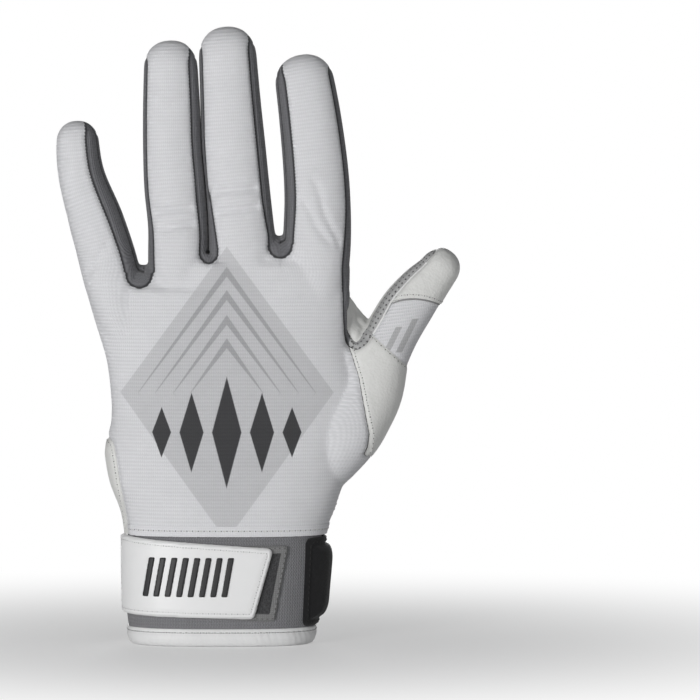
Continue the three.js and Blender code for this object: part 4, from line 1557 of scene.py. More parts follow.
def leather_finish():
    finish = Finish("leather")
    grain = finish.cells(0.95)
    fine = finish.noise(0.3, 3.0)
    wrinkle = finish.noise(3.2, 3.0, finish.stretched(finish.place, 1.0, 1.0, 0.7))
    height = grain * 0.07 + fine * 0.03 + wrinkle * 0.3
    tone = grain * 0.035 + wrinkle * 0.06 + finish.noise(8.0) * 0.05 + 0.915
    return finish.surface(finish.toned(shade(colours().leather), tone), 0.52 + fine * 0.14, height, 0.42)


def pad_finish():
    finish = Finish("pad leather")
    grain = finish.cells(0.9)
    fine = finish.noise(0.3, 3.0)
    wrinkle = finish.noise(4.0)
    height = grain * 0.06 + fine * 0.03 + wrinkle * 0.2
    colour = finish.toned(shade(colours().leather, 0.93), grain * 0.04 + wrinkle * 0.06 + 0.93)
    return finish.surface(colour, 0.5 + fine * 0.12, height, 0.42)


def gusset_finish():
    """Stretch cloth between the back and the palm, ribbed along the finger, with painted shade along its seams and its
    fold.
    """
    finish = Finish("gusset")
    across, along, edge = finish.parts(finish.cloth)
    ribs, rows = across.wave(0.95), along.wave(1.1)
    fuzz = finish.noise(0.4)
    height = ribs * 0.12 + rows * 0.06 + fuzz * 0.04
    # Painted shade: the gusset grows darker towards its seams and along its fold, where the fingers' sides and the
    # crease lie in shade.
    dark = edge.ramp(-0.95, -0.25)
    tone = (ribs * 0.28 + rows * 0.14 + fuzz * 0.34 + 1.2) * (1 - dark * 0.75)
    return finish.surface(finish.toned(shade(colours().gusset), tone), 0.85, height, 0.2, 0.2)


def strip_finish():
    """A pale stretch strip with rows of small holes."""
    finish = Finish("perforated strip")
    across, along, edge = finish.parts(finish.cloth)
    holes = (across.wave(1.9) * along.wave(1.9)).ramp(0.62, 0.8)
    fuzz = finish.noise(0.5)
    cloth = finish.toned(shade((0.66, 0.66, 0.66)), fuzz * 0.12 + 0.94)
    colour = finish.mixed(holes * 0.75, cloth, shade((0.2, 0.2, 0.2)))
    return finish.surface(colour, 0.75, fuzz * 0.04 - holes * 0.3, 0.3)


def knuckle_finish():
    """Knit over the thumb's knuckle, its courses level, with two short slanting bars."""
    finish = Finish("knuckle knit")
    x, y, z = finish.parts(finish.place)
    courses = (z - x * 0.12).wave(1.25)
    loops = (x + z * 0.12).wave(0.86)
    fuzz = finish.noise(0.45)
    slant = x - z * 0.5
    bars = 0.0
    for offset, middle in ((5.6, 115.5), (10.4, 118.5)):
        bar = abs(slant - offset).ramp(1.3, 1.1) * abs(z - middle).ramp(6.6, 6.3)
        bars = bar.greater(bars)
    tone = courses * 0.08 + loops * 0.03 + fuzz * 0.08 + finish.noise(5.0) * 0.08 + 0.84
    colour = finish.toned(finish.mixed(bars * 0.5, shade(colours().knit), shade((0.5, 0.5, 0.5))), tone)
    return finish.surface(colour, 0.82, courses * 0.12 + loops * 0.05 + fuzz * 0.03, 0.25, 0.1)


def elastic_finish():
    finish = Finish("elastic")
    across, along, edge = finish.parts(finish.cloth)
    rows = along.wave(1.35)
    ribs = (across + rows * 0.45).wave(1.05)
    broad = finish.noise(2.4, vector=finish.stretched(finish.place, 1.0, 1.0, 0.2))
    tone = ribs * 0.26 + rows * 0.1 + finish.noise(0.35) * 0.2 + broad * 0.16 + 0.63
    colour = finish.toned(shade(colours().elastic), tone)
    return finish.surface(colour, 0.8, ribs * 0.16 + rows * 0.08, 0.25, 0.1)


def binding_finish():
    finish = Finish("binding")
    grain = finish.cells(0.8)
    puckers = finish.noise(1.6, vector=finish.stretched(finish.cloth, 1.0, 0.25, 1.0))
    height = grain * 0.04 + finish.noise(0.3) * 0.03 + puckers * 0.1
    colour = finish.toned(shade((0.86, 0.86, 0.86)), grain * 0.03 + puckers * 0.04 + 0.95)
    return finish.surface(colour, 0.5, height, 0.42)


def strap_finish():
    finish = Finish("strap coating")
    fine = finish.noise(0.5, 3.0)
    colour = finish.toned(shade((0.89, 0.89, 0.89)), fine * 0.02 + finish.noise(6.0) * 0.04 + 0.97)
    return finish.surface(colour, 0.42 + fine * 0.1, fine * 0.02, 0.45)


def hook_finish():
    """Hook and loop field with a paler woven edge; the cloth's third number is the distance from the edge."""
    finish = Finish("hook and loop")
    across, along, edge = finish.parts(finish.cloth)
    hooks = finish.cells(0.75, finish.stretched(finish.cloth, 1.0, 1.0, 0.0))
    fuzz = finish.noise(0.35, 3.0)
    selvedge = edge.ramp(3.1, 2.7)
    weave = across.wave(0.8) * along.wave(0.8)
    field = finish.toned(shade((0.25, 0.25, 0.255)), hooks * 0.7 + fuzz * 0.5 + 0.35)
    border = finish.toned(shade((0.5, 0.5, 0.5)), weave * 0.35 + 0.8)
    height = (hooks * 0.35 + fuzz * 0.15) * (1 - selvedge) + weave * selvedge * 0.1
    return finish.surface(finish.mixed(selvedge, field, border), 0.8, height, 0.3)


def rubber_finish():
    finish = Finish("rubber")
    fine = finish.noise(0.4, 3.0)
    colour = finish.toned(shade(colours().black), fine * 0.2 + 0.9)
    return finish.surface(colour, 0.45 + fine * 0.15, fine * 0.03, 0.45)


def padding_finish():
    """Black brushed cloth over foam."""
    finish = Finish("black padding")
    fuzz, clumps = finish.noise(0.3, 4.0), finish.noise(1.1, 3.0)
    colour = finish.toned(shade(colours().black), fuzz * 0.9 + clumps * 0.5 + 0.3)
    return finish.surface(colour, 0.95, fuzz * 0.16 + clumps * 0.12, 0.15, 0.12, 0.6)


def webbing_finish():
    finish = Finish("black webbing")
    across, along, edge = finish.parts(finish.cloth)
    ribs = (along + across.wave(1.6) * 0.3).wave(0.9)
    yarn = across.wave(0.8)
    colour = finish.toned(shade(colours().black), ribs * 0.5 + yarn * 0.3 + finish.noise(0.3) * 0.4 + 0.45)
    return finish.surface(colour, 0.7, ribs * 0.14 + yarn * 0.07, 0.3, 0.15)


def thread_finish(name, colour, dark=0.42):
    """Twisted thread, and the painted shade of a needle hole where the cloth's third number is 1."""
    def write():
        finish = Finish(name)
        across, along, edge = finish.parts(finish.cloth)
        twist = (along + across * 0.8).wave(0.55)
        # Painted shade: the needle holes take the thread's colour darkened.
        hole = shade(tuple(c * dark for c in colour))
        base = finish.mixed(edge, finish.toned(shade(colour), twist * 0.16 + 0.9), hole)
        return finish.surface(base, 0.6, twist * 0.05, 0.35)
    return write


FINISH_MAKERS = {
    "knit": knit_finish, "knit_band": band_finish, "leather": leather_finish, "pad": pad_finish,
    "gusset": gusset_finish, "strip": strip_finish, "knuckle": knuckle_finish, "elastic": elastic_finish,
    "binding": binding_finish, "strap": strap_finish, "hook": hook_finish, "rubber": rubber_finish,
    "padding": padding_finish, "webbing": webbing_finish,
    "white_thread": thread_finish("white thread", (0.8, 0.8, 0.79)),
    "grey_thread": thread_finish("grey thread", (0.55, 0.55, 0.55)),
    "black_thread": thread_finish("black thread", (0.14, 0.14, 0.14)),
    # The dark cords that paint shade in seam grooves take this finish.
    "dark_thread": thread_finish("dark thread", (0.25, 0.25, 0.25)),
    "soft_thread": thread_finish("soft white thread", (0.84, 0.84, 0.84), 0.82),
}


# Stitches


def traced(field, keep):
    """Lines on the shaped skin where a field is zero: chains of points with their normals."""
    sewing = Sewing.shared()
    places, faces = sewing.skin.places, sewing.skin.faces
    values = field(places)
    values = np.where(values == 0, 1e-6, values)
    corner = values[faces]
    crossing = keep(places)[faces].all(1) & (corner.min(1) < 0) & (corner.max(1) > 0)
    some, total = faces[crossing], len(values)
    ends = []
    for k in range(3):
        a, b = some[:, k], some[:, (k + 1) % 3]
        key = np.minimum(a, b) * total + np.maximum(a, b)
        ends.append(np.where(values[a] * values[b] < 0, key, -1))
    ends = np.sort(np.stack(ends, axis=1), axis=1)[:, 1:]
    keys = np.unique(ends)
    a, b = keys // total, keys % total
    share = (values[a] / (values[a] - values[b]))[:, None]
    points = sewing.points[a] * (1 - share) + sewing.points[b] * share
    normals = unit(sewing.normals[a] * (1 - share) + sewing.normals[b] * share)
    links = np.searchsorted(keys, ends)
    near = {}
    for i, j in links.tolist():
        near.setdefault(i, []).append(j)
        near.setdefault(j, []).append(i)
    seen, chains = set(), []
    starts = [i for i in near if len(near[i]) == 1] + list(near)
    for start in starts:
        if start in seen:
            continue
        chain, here = [start], start
        seen.add(start)
        while True:
            ahead = [n for n in near[here] if n not in seen]
            if not ahead:
                break
            here = ahead[0]
            seen.add(here)
            chain.append(here)
        if len(near[start]) == 2 and len(chain) > 3:
            chain.append(start)
        if len(chain) > 6:
            chains.append((points[chain], normals[chain]))
    return chains


def eased(rows):
    """The rows of a chain, each drawn towards its neighbours."""
    return np.concatenate([rows[:1], (rows[:-2] + rows[1:-1] * 2 + rows[2:]) / 4, rows[-1:]])


PER_STITCH = 6


def resampled(points, normals, pitch):
    """Places a sixth of a pitch apart along a chain that is smoothed a little."""
    for _ in range(4):
        points, normals = eased(points), eased(normals)
    at = run_lengths(points)
    query = np.linspace(0, at[-1], max(int(round(at[-1] / pitch)), 1) * PER_STITCH + 1)
    return rows_at(query, at, points), unit(rows_at(query, at, normals))


PARTS = (("lower", "root"), ("upper", "tip"))
THREAD_SIDES = 6
HOLE_SIDES = 8
THREAD_RISE = (-0.24, 0.02, 0.12, 0.02, -0.24)
THREAD_FULL = (0.45, 0.9, 1.0, 0.9, 0.45)


def turns(sides):
    """Angles that divide a turn, as a column."""
    return np.linspace(0, 2 * math.pi, sides, endpoint=False)[:, None]


def copied(faces, count, points_each):
    return (np.array(faces)[None] + np.arange(count)[:, None, None] * points_each).reshape(-1, 3)


def twist_marks(points):
    """Pattern places that run along a thread."""
    zeros = np.zeros(len(points))
    return np.stack([zeros, points @ np.array([1.0, 0.6, 0.8]), zeros], axis=1)


def add_threads(cloth, line, facing, thread, lift):
    """The thread of each stitch, a short closed tube whose ends dip into the cloth."""
    starts = np.arange(0, len(line) - 1, PER_STITCH)
    spots = starts[:, None] + np.arange(1, PER_STITCH)
    normal = facing[spots]
    ahead = unit(line[starts + 5] - line[starts + 1])[:, None]
    side = unit(np.cross(ahead, normal))
    middle = line[spots] + normal * (np.array(THREAD_RISE)[:, None] + lift)
    angle = turns(THREAD_SIDES)
    around = side[:, :, None] * np.cos(angle) + normal[:, :, None] * np.sin(angle) * 0.8
    rings = middle[:, :, None] + around * (np.array(THREAD_FULL)[:, None, None] * thread / 2)
    ends = middle[:, [0, 4]] + np.array([-1, 1])[:, None] * ahead * thread * 0.3
    points = np.concatenate([rings.reshape(len(starts), -1, 3), ends], axis=1)
    first, last = len(points[0]) - 2, len(points[0]) - 1
    faces = []
    for i in range(THREAD_SIDES):
        n = (i + 1) % THREAD_SIDES
        for low in range(0, 4 * THREAD_SIDES, THREAD_SIDES):
            high = low + THREAD_SIDES
            faces += [(low + i, high + n, low + n), (low + i, high + i, high + n)]
        faces += [(first, i, n), (last, 4 * THREAD_SIDES + n, 4 * THREAD_SIDES + i)]
    outward = np.concatenate([unit(around).reshape(len(starts), -1, 3), -ahead, ahead], axis=1).reshape(-1, 3)
    faces = copied(faces, len(starts), last + 1)
    points = points.reshape(-1, 3)
    cloth.add(points, faces, outward[faces].reshape(-1, 3), twist_marks(points))


def add_holes(cloth, line, facing, thread, lift):
    """Dark discs between the stitches: painted shade for the dimples that the needle leaves."""
    spots = np.arange(0, len(line), PER_STITCH)
    centre, normal = line[spots, None], facing[spots, None]
    ahead = unit(np.gradient(line, axis=0))[spots, None]
    side = unit(np.cross(ahead, normal))
    angle = turns(HOLE_SIDES)
    ring = centre + normal * (lift - 0.02) + thread * 0.72 * (ahead * np.cos(angle) + side * np.sin(angle))
    points = np.concatenate([ring, centre + normal * (lift + 0.06), centre + normal * (lift - 0.5)], axis=1)
    top, low = HOLE_SIDES, HOLE_SIDES + 1
    faces = []
    for i in range(HOLE_SIDES):
        n = (i + 1) % HOLE_SIDES
        faces += [(top, n, i), (low, i, n)]
    faces = copied(faces, len(spots), low + 1)
    outward = np.repeat(facing[spots], low + 1, axis=0)
    marks = np.tile([0.0, 0.0, 1.0], (len(outward), 1))
    cloth.add(points.reshape(-1, 3), faces, outward[faces].reshape(-1, 3), marks)


def sew_line(cloth, points, normals, pitch, thread, lift=0.0):
    """Adds one row of stitches along a line, with a dark disc of painted shade for the needle hole between each two.
    """
    line, facing = resampled(points, normals, pitch)
    for add in (add_threads, add_holes):
        add(cloth, line, facing, thread, lift)


def lay_cord(cloth, line, facing, width, lift):
    """Adds a closed round cord along a line."""
    side = unit(np.cross(unit(np.gradient(line, axis=0)), facing))
    angle = turns(THREAD_SIDES)
    around = side[:, None] * np.cos(angle) + facing[:, None] * np.sin(angle) * 0.8
    points, faces = closed_skin(list((line + facing * lift)[:, None] + around * width / 2))
    p, q, r = (points[faces[:, k]] for k in range(3))
    if (p * np.cross(q, r)).sum() < 0:
        faces = faces[:, ::-1]
    cloth.add(points, faces, point_normals(points, faces)[faces].reshape(-1, 3), twist_marks(points))


def piping(name, field, keep, ride, finish, width, lift=0.0):
    """A piece with a cord along a seam: pale cords are piping; the dark cords paint the shade in a seam's groove, and
    the grey one the shadow under the thumb's cap.
    """
    cloth = Cloth()
    for points, normals in traced(field, keep):
        lay_cord(cloth, *resampled(points, normals, 3.0), width, lift)
    cloth.piece(name, finish, "binding", ride)


def stitch_piece(name, finish, slot, ride, lines, wide=1.0, thick=1.0, lift=0.0):
    """A piece with rows of stitches; pitch and thread are shares of the usual ones."""
    sizes = bpy.context.scene.glove_sizes
    cloth = Cloth()
    for points, normals in lines:
        sew_line(cloth, points, normals, sizes.pitch * wide, sizes.thread * thick, lift)
    cloth.piece(name, finish, slot, ride)


def seam_stitches(name, field, keep, ride="hand", lift=0.0):
    """A piece with the stitches along a line on the skin."""
    stitch_piece(name, "white_thread", "binding", ride, traced(field, keep), lift=lift)


# The cuff, whose pieces follow its outline: places are given round it and up


CUFF_LEVELS = np.linspace(0, 50, 26)
CUFF_TURN = np.linspace(-math.pi, math.pi, 1441)


def cuff_point(angle, z, out):
    """A point of the cuff at an angle from the middle of the back towards the thumb, and its normal."""
    left, right, back, palm = section_at(CUFF_SECTIONS, z).T
    cos, sin = rounded(angle, HAND_ROUNDNESS)
    wide, deep = (right - left) / 2, (palm - back) / 2
    points = np.stack([(left + right) / 2 + wide * sin, (back + palm) / 2 - deep * cos, z], axis=1)
    power = HAND_ROUNDNESS - 1
    x, y = np.sign(sin) * np.abs(sin) ** power / wide, -np.sign(cos) * np.abs(cos) ** power / deep
    normal = unit(np.stack([x, y, np.zeros(len(z))], axis=1))
    return points + normal * np.reshape(out, (-1, 1)), normal


def cuff_arc_table():
    """The length round the cuff from the middle of its back: a row for each level, a column for each angle."""
    arcs = []
    for z in CUFF_LEVELS:
        at = run_lengths(cuff_point(CUFF_TURN, np.full(len(CUFF_TURN), z), 0.0)[0])
        arcs.append(at - at[len(at) // 2])
    return np.array(arcs)


CUFF_ARCS = cuff_arc_table()


def cuff_angle(arc, z):
    """The angle at a length round the cuff from the middle of its back."""
    place = np.clip(z, CUFF_LEVELS[0], CUFF_LEVELS[-1]) / (CUFF_LEVELS[1] - CUFF_LEVELS[0])
    low = np.clip(place.astype(int), 0, len(CUFF_LEVELS) - 2)
    part = place - low
    found = np.zeros(len(z))
    for level in range(len(CUFF_LEVELS)):
        for base, weight in ((low, 1 - part), (low + 1, part)):
            here = base == level
            if here.any():
                found[here] += np.interp(arc[here], CUFF_ARCS[level], CUFF_TURN) * weight[here]
    return found


def on_cuff(arc, z, out):
    return cuff_point(cuff_angle(arc, z), z, out)


def arcs_at(z):
    """The lengths round the cuff at a height, for each angle of CUFF_TURN."""
    return np.array([np.interp(z, CUFF_LEVELS, column) for column in CUFF_ARCS.T])


def arc_at(value, z, axis, low, high):
    """The length round the cuff where it reaches an x or y between two angles."""
    angles = np.linspace(low, high, 400)
    reach = cuff_point(angles, np.full(400, float(z)), 0.0)[0][:, axis]
    way = 1 if reach[-1] > reach[0] else -1
    return float(np.interp(np.interp(value * way, reach * way, angles), CUFF_TURN, arcs_at(z)))


def back_arc(x, z):
    return arc_at(x, z, 0, -math.pi / 2, math.pi / 2)


def rounded_outline(points, radius):
    """A closed line through corners, each rounded off."""
    corners = np.array(points, float)
    line = []
    for i, corner in enumerate(corners):
        before, after = corners[i - 1] - corner, corners[(i + 1) % len(corners)] - corner
        before, after = before / np.linalg.norm(before), after / np.linalg.norm(after)
        half = math.acos(np.clip(before @ after, -1, 1)) / 2
        size = radius[i] if hasattr(radius, "__len__") else radius
        reach = size / math.tan(half)
        for t in np.linspace(0, 1, 9):
            p, q, r = corner + before * reach, corner, corner + after * reach
            line.append(p * (1 - t) ** 2 + q * 2 * t * (1 - t) + r * t**2)
    return np.array(line)


def flat_patch(line, step):
    """A fine grid of triangles cut along a closed line, with each point's depth inside it."""
    low, high = line.min(0) - step, line.max(0) + step
    columns = np.arange(low[0], high[0] + step, step)
    rows = np.arange(low[1], high[1] + step, step)
    u, w = (grid.ravel() for grid in np.meshgrid(columns, rows))
    i, j = (grid.ravel() for grid in np.meshgrid(np.arange(len(columns) - 1), np.arange(len(rows) - 1)))
    corner = j * len(columns) + i
    up = corner + len(columns)
    faces = np.concatenate([
        np.stack([corner, corner + 1, up + 1], axis=1), np.stack([corner, up + 1, up], axis=1)])
    values = line_distance(u, w, line)
    values = np.where(np.abs(values) < step * 0.12, 0, values)
    a, b, share, faces = cut_where_zero(values, faces, np.ones(len(values), bool))
    share = share[:, 0]
    u = np.concatenate([u, u[a] * (1 - share) + u[b] * share])
    w = np.concatenate([w, w[a] * (1 - share) + w[b] * share])
    values = np.concatenate([values, np.zeros(len(a))])
    used, faces = np.unique(faces[values[faces].mean(1) < 0], return_inverse=True)
    return u[used], w[used], faces.reshape(-1, 3), np.maximum(-values[used], 0)


def edge_round(depth, radius):
    """The share of full thickness at a depth inside an edge that is rounded over."""
    left = 1 - np.clip(depth / radius, 0, 1)
    return np.sqrt(np.maximum(1 - left**2, 0))


def slab(cloth, line, mapping, low, thick, radius, step=0.8, shape=None):
    """Adds a slab with a rounded edge that lies on a mapped surface."""
    u, w, faces, depth = flat_patch(line, step)
    full = low + 0.25 * thick + (edge_round(depth, radius) * 0.75) * thick
    if shape is not None:
        full = full + shape(u, w, depth)
    outer, inner = mapping(u, w, full)[0], mapping(u, w, np.full(len(u), low))[0]
    cloth.walled(outer, inner, faces, point_normals(outer, faces), np.stack([u, w, depth], axis=1))


def mapped_line(line, mapping, out, inset):
    """A closed line moved inwards and laid on a mapped surface, with normals, for a row of stitches."""
    closed = np.concatenate([line[-1:], line, line[:1]])
    tangent = unit(closed[2:] - closed[:-2])
    turned = np.stack([-tangent[:, 1], tangent[:, 0]], axis=1)
    if ((line.mean(0) - line) * turned).sum() < 0:
        turned = -turned
    moved = line + turned * inset
    moved = np.concatenate([moved, moved[:1]])
    at = run_lengths(moved)
    u, w = rows_at(np.linspace(0, at[-1], int(at[-1] / 0.5) + 2), at, moved).T
    return mapping(u, w, np.full(len(u), out))


def cuff_ring(cloth, profile, around, shape=None):
    """Adds a ring swept round the cuff; the profile is a closed line of heights and reaches outwards."""
    turn = np.linspace(0, 1, around, endpoint=False)
    points, arcs, faces = [], [], []
    i = np.arange(around)
    j = (i + 1) % around
    for r, (z, out) in enumerate(profile):
        lengths = arcs_at(z)
        arc = lengths[0] + turn * (lengths[-1] - lengths[0])
        reach = np.full(around, out) if shape is None else out + shape(arc, z, out)
        points.append(cuff_point(np.interp(arc, lengths, CUFF_TURN), np.full(around, z), reach)[0])
        arcs.append(arc)
        here, ahead = r * around, (r + 1) % len(profile) * around
        a, b, c, d = here + i, here + j, ahead + i, ahead + j
        faces += [np.stack([a, b, d], axis=1), np.stack([a, d, c], axis=1)]
    points, arcs, faces = np.concatenate(points), np.concatenate(arcs), np.concatenate(faces)
    along = np.repeat(run_lengths(np.array(profile)), around)
    marks = np.stack([arcs, along, np.zeros(len(points))], axis=1)
    cloth.add(points, faces, point_normals(points, faces)[faces].reshape(-1, 3), marks)


# Pieces


def sewn_piece(name, finish, slot, ride, panel=None, wall=None, stands=True, more=None):
    """A piece sewn from one panel of the skin; where it stands for a CAD node, that has the piece's name."""
    cloth = Cloth()
    cloth.panel(Sewing.shared().panels[panel or name], wall or bpy.context.scene.glove_sizes.wall)
    if more is not None:
        more(cloth)
    cloth.piece(f"{name}_sewn", finish, slot, ride, [name] if stands else ())


class PieceOperator(bpy.types.Operator):
    """Makes pieces of the glove."""

    bl_options = {"REGISTER", "UNDO"}

    def execute(self, context):
        self.make(context)
        return {"FINISHED"}


class GLOVE_OT_knit(PieceOperator):
    """Makes the knit backs of the hand and fingers and the folded band at the wrist."""

    bl_idname = "glove.knit"
    bl_label = "Knit back"

    def make(self, context):
        sewn_piece("hand_back_knit", "knit", "knit", "hand", "hand_back")
        for name, (part, ride) in product(FINGERS, PARTS):
            sewn_piece(f"{name}_back_{part}", "knit", "knit", f"{name}_{ride}")
        sewn_piece("wrist_band", "knit_band", "knit", "hand", stands=False)


PATCH_WALL = 1.4
PAD_WALL = 2.4
CAP_WALL = 1.7


class GLOVE_OT_leather(PieceOperator):
    """Makes the leather palm, finger fronts, thumb base, wrist gore and the pads sewn to them."""

    bl_idname = "glove.leather"
    bl_label = "Leather and pads"

    def make(self, context):
        sewn_piece("palm_leather", "leather", "leather", "hand", "palm")
        sewn_piece("thumb_base_leather", "leather", "leather", "hand", "thumb_base", PATCH_WALL)
        sewn_piece("wrist_gore", "leather", "leather", "hand", wall=PATCH_WALL)
        sewn_piece("slit_gusset", "elastic", "elastic", "hand", stands=False)
        sewn_piece("palm_pad", "pad", "leather", "hand", wall=PAD_WALL)
        for name in FINGERS:
            for part, ride in PARTS:
                sewn_piece(f"{name}_palm_{part}", "leather", "leather", f"{name}_{ride}")
            for part, ride in PARTS:
                if part in FINGER_PADS[name]:
                    sewn_piece(f"{name}_pad_{part}", "pad", "leather", f"{name}_{ride}", wall=PAD_WALL)


WEB_NAMES = ("pinky_ring_web", "ring_middle_web", "middle_index_web")
WEB_REACH = 11


class GLOVE_OT_gussets(PieceOperator):
    """Makes the stretch gussets at the sides of the fingers and the webs between them."""

    bl_idname = "glove.gussets"
    bl_label = "Gussets and webs"

    def make(self, context):
        for name, way, (part, ride) in product(FINGERS, ("pinky", "thumb"), PARTS):
            if name != way:
                sewn_piece(f"{name}_fourchette_{way}_side_{part}", "gusset", "fourchette", f"{name}_{ride}",
                           f"{name}_side_{way}_{part}")
        panels = Sewing.shared().panels
        strips = panels["web_strip"]
        middle = strips.points[strips.faces].mean(1)[:, 0]
        for name, web in zip(WEB_NAMES, WEBS):
            panels[name] = strips.split(np.abs(middle - web[0]) < WEB_REACH)
            sewn_piece(name, "gusset", "fourchette", "hand", more=lambda cloth: hidden_saddle(cloth, *web))
        sewn_piece("thumb_crotch_gusset", "gusset", "fourchette", "hand", "crotch_strip")
        mesh = panels["crotch_mesh"].places
        line = smooth_line(STRIP_SEAM, 1200)
        nearest = [np.argmin((line[:, 0] - x) ** 2 + (line[:, 1] - z) ** 2) for x, z in zip(mesh.x, mesh.z)]
        mesh["along"] = run_lengths(line)[nearest]
        mesh["across"] = mesh.strip * 1.3
        sewn_piece("crotch_mesh", "strip", "mesh_strip", "hand", stands=False)


SADDLE_DROP = 2.2


def hidden_saddle(cloth, x, seam_z, saddle_z, half_width):
    """The web's own cloth, a little under the finger gussets, seen only when the fingers part."""
    rings = web_rings(x, seam_z, saddle_z, half_width - 1.5)
    points, faces = closed_skin([ring * [1, 0.8, 1] - [0, 0, SADDLE_DROP] for ring in rings])
    marks = points[:, [1, 2, 0]] * [1, 1, 0]
    cloth.add(points, faces, point_normals(points, faces)[faces].reshape(-1, 3), marks)


class GLOVE_OT_thumb(PieceOperator):
    """Makes the thumb: ribbed knuckle, perforated side strip, leather palm side and leather cap."""

    bl_idname = "glove.thumb"
    bl_label = "Thumb"

    def make(self, context):
        for part, ride in (("lower", "thumb_root"), ("upper", "thumb_tip")):
            sewn_piece(f"thumb_knuckle_knit_{part}", "knuckle", "knit", ride, f"thumb_knuckle_{part}")
            sewn_piece(f"thumb_side_strip_{part}", "strip", "mesh_strip", ride, f"thumb_strip_{part}")
            sewn_piece(f"thumb_palm_{part}", "leather", "leather", ride)
        sewn_piece("thumb_cap", "leather", "leather", "thumb_tip", wall=CAP_WALL)


class GLOVE_OT_stitches(PieceOperator):
    """Sews the visible rows of stitches on the hand, pads and thumb."""

    bl_idname = "glove.stitches"
    bl_label = "Stitches"

    def make(self, context):
        def on_base(top):
            near = within(x=(40, FAR), y=(-FAR, HAND_SEAM + 0.4), z=(71, top))
            return lambda p: near(p) & (thumb_past(p) < -0.4)

        def past_root(p):
            return (thumb_past(p) > 2) & (thumb_back_field(p) > 0.6)

        seam_stitches("gore_stitches", lambda p: gore_field(p) - 0.9,
                      within(x=(-FAR, -20), y=(-FAR, 10), z=(44, 84)), lift=0.3)
        seam_stitches("thumb_base_stitches", lambda p: knit_edge_field(p) - 1.3, on_base(116.5), lift=0.3)
        seam_stitches("wrist_band_stitches", lambda p: p.z - (BAND_LOW + BAND_HIGH) / 2 - 0.2,
                      lambda p: (gore_field(p) < -0.6) & (slit_field(p) < -0.6), lift=0.45)
        seam_stitches("palm_pad_stitches", lambda p: palm_pad_field(p) + 1.7, lambda p: palm_pad_field(p) < 4)
        for name, (part, ride) in product(FINGER_PADS, PARTS):
            if part in FINGER_PADS[name]:
                field = PAD_FIELDS[f"{name}_pad_{part}"]
                seam_stitches(f"{name}_pad_{part}_stitches", lambda p: field(p) + 1.5, lambda p: field(p) < 4,
                              f"{name}_{ride}")
        seam_stitches("thumb_cap_stitches", lambda p: cap_field(p) - 1.2,
                      lambda p: past_root(p) & (cap_field(p) < 4), "thumb_tip", 0.55)
        seam_stitches("thumb_root_stitches", lambda p: thumb_past(p) + 0.9,
                      lambda p: (thumb_past(p) < 3) & (p.x > 55) & (p.y < 2), lift=0.3)
        # A dark cord along the seam between knit and thumb-base leather: painted shade in the seam's deep groove.
        piping("thumb_base_seam", knit_edge_field, on_base(115), "hand", "dark_thread", 0.75, -0.05)
        # A dark cord along the seam at the bottom of the crotch: painted shade in the crotch's seam groove.
        in_crotch = within(x=(45, 52), y=(-FAR, 4), z=(110, 121))
        piping("crotch_seam", back_field, lambda p: in_crotch(p) & (thumb_past(p) < -0.2),
               "hand", "dark_thread", 0.7, 0.05)
        for part, ride, low, high, rise in (("lower", "thumb_root", 0.2, THUMB_SPLIT + 0.6, 0.1),
                                            ("upper", "thumb_tip", THUMB_SPLIT - 0.6, 90.0, 0.4)):
            def along_strip(p):
                past = thumb_past(p)
                beside = (np.abs(p.strip) < 1.5) & (p.tv < THUMB_SEAM - 1)
                return (past > low) & (past < high) & (p.z < 147) & beside

            piping(f"thumb_strip_piping_{part}", thumb_back_field, along_strip, ride, "binding", 1.0, rise)
        # A grey cord on the knit just below the cap's lower edge: the painted shadow that the cap's edge casts.
        piping("thumb_cap_edge", lambda p: cap_field(p) + 0.45,
               lambda p: past_root(p) & (thumb_back_field(p) > 0.8) & (np.abs(cap_field(p)) < 3), "thumb_tip",
               "grey_thread", 0.7)
        seam_stitches("slit_stitches", lambda p: slit_field(p) + 1.2,
                      lambda p: within(x=(30, FAR), z=(48, 70))(p) & (slit_field(p) > -5))


# The cuff's parts in profile: height and reach outwards
ELASTIC_PROFILE = [
    (5.0, -1.7), (5.0, -0.1), (7.5, 0.0), (16.0, 0.12), (25.0, 0.15), (33.0, 0.1), (38.5, -0.1), (41.5, -0.85),
    (44.6, -1.1), (44.6, -2.4), (25.0, -1.6),
]
ROLL_PROFILE = [
    (0.0, -1.6), (0.0, -0.7), (0.5, 0.35), (1.6, 1.0), (3.2, 1.2), (4.5, 0.95), (5.1, 0.55), (5.5, 0.62),
    (6.3, 0.62), (6.9, 0.3), (6.9, -0.2), (5.4, -1.6),
]
HEM_STITCH_HEIGHT = 5.5
PUCKER = 0.05


def pucker(arc, z, out):
    """How the outside of the binding is drawn in and out along its stitches."""
    size = PUCKER if 0.4 < z < 6.6 and out > 0 else 0.0
    return size * np.sin(arc * 2 * math.pi / 2.6 + z * 0.8) + size * 2 * np.sin(arc * 0.5 + z * 0.3)


class GLOVE_OT_cuff(PieceOperator):
    """Makes the wide elastic of the cuff and the plump binding at its rim."""

    bl_idname = "glove.cuff"
    bl_label = "Cuff"

    def make(self, context):
        sizes = context.scene.glove_sizes
        for name, finish, slot, stops, step, around, shape, node in (
            ("woven_elastic", "elastic", "elastic", ELASTIC_PROFILE, 1.2, 2, None, "cuff_elastic"),
            ("rim_binding", "binding", "binding", ROLL_PROFILE, 0.45, 3, pucker, "hem_binding"),
        ):
            cloth = Cloth()
            cuff_ring(cloth, smooth_profile(stops, step), sizes.around * around, shape)
            cloth.piece(name, finish, slot, "hand", [node])
        arc = np.linspace(CUFF_ARCS[1, 0], CUFF_ARCS[1, -1], 600)
        z = HEM_STITCH_HEIGHT
        line = on_cuff(arc, np.full(len(arc), z), 0.62 + pucker(arc, z, 1.0))
        stitch_piece("hem_stitches", "grey_thread", "binding", "hand", [line], thick=0.9)


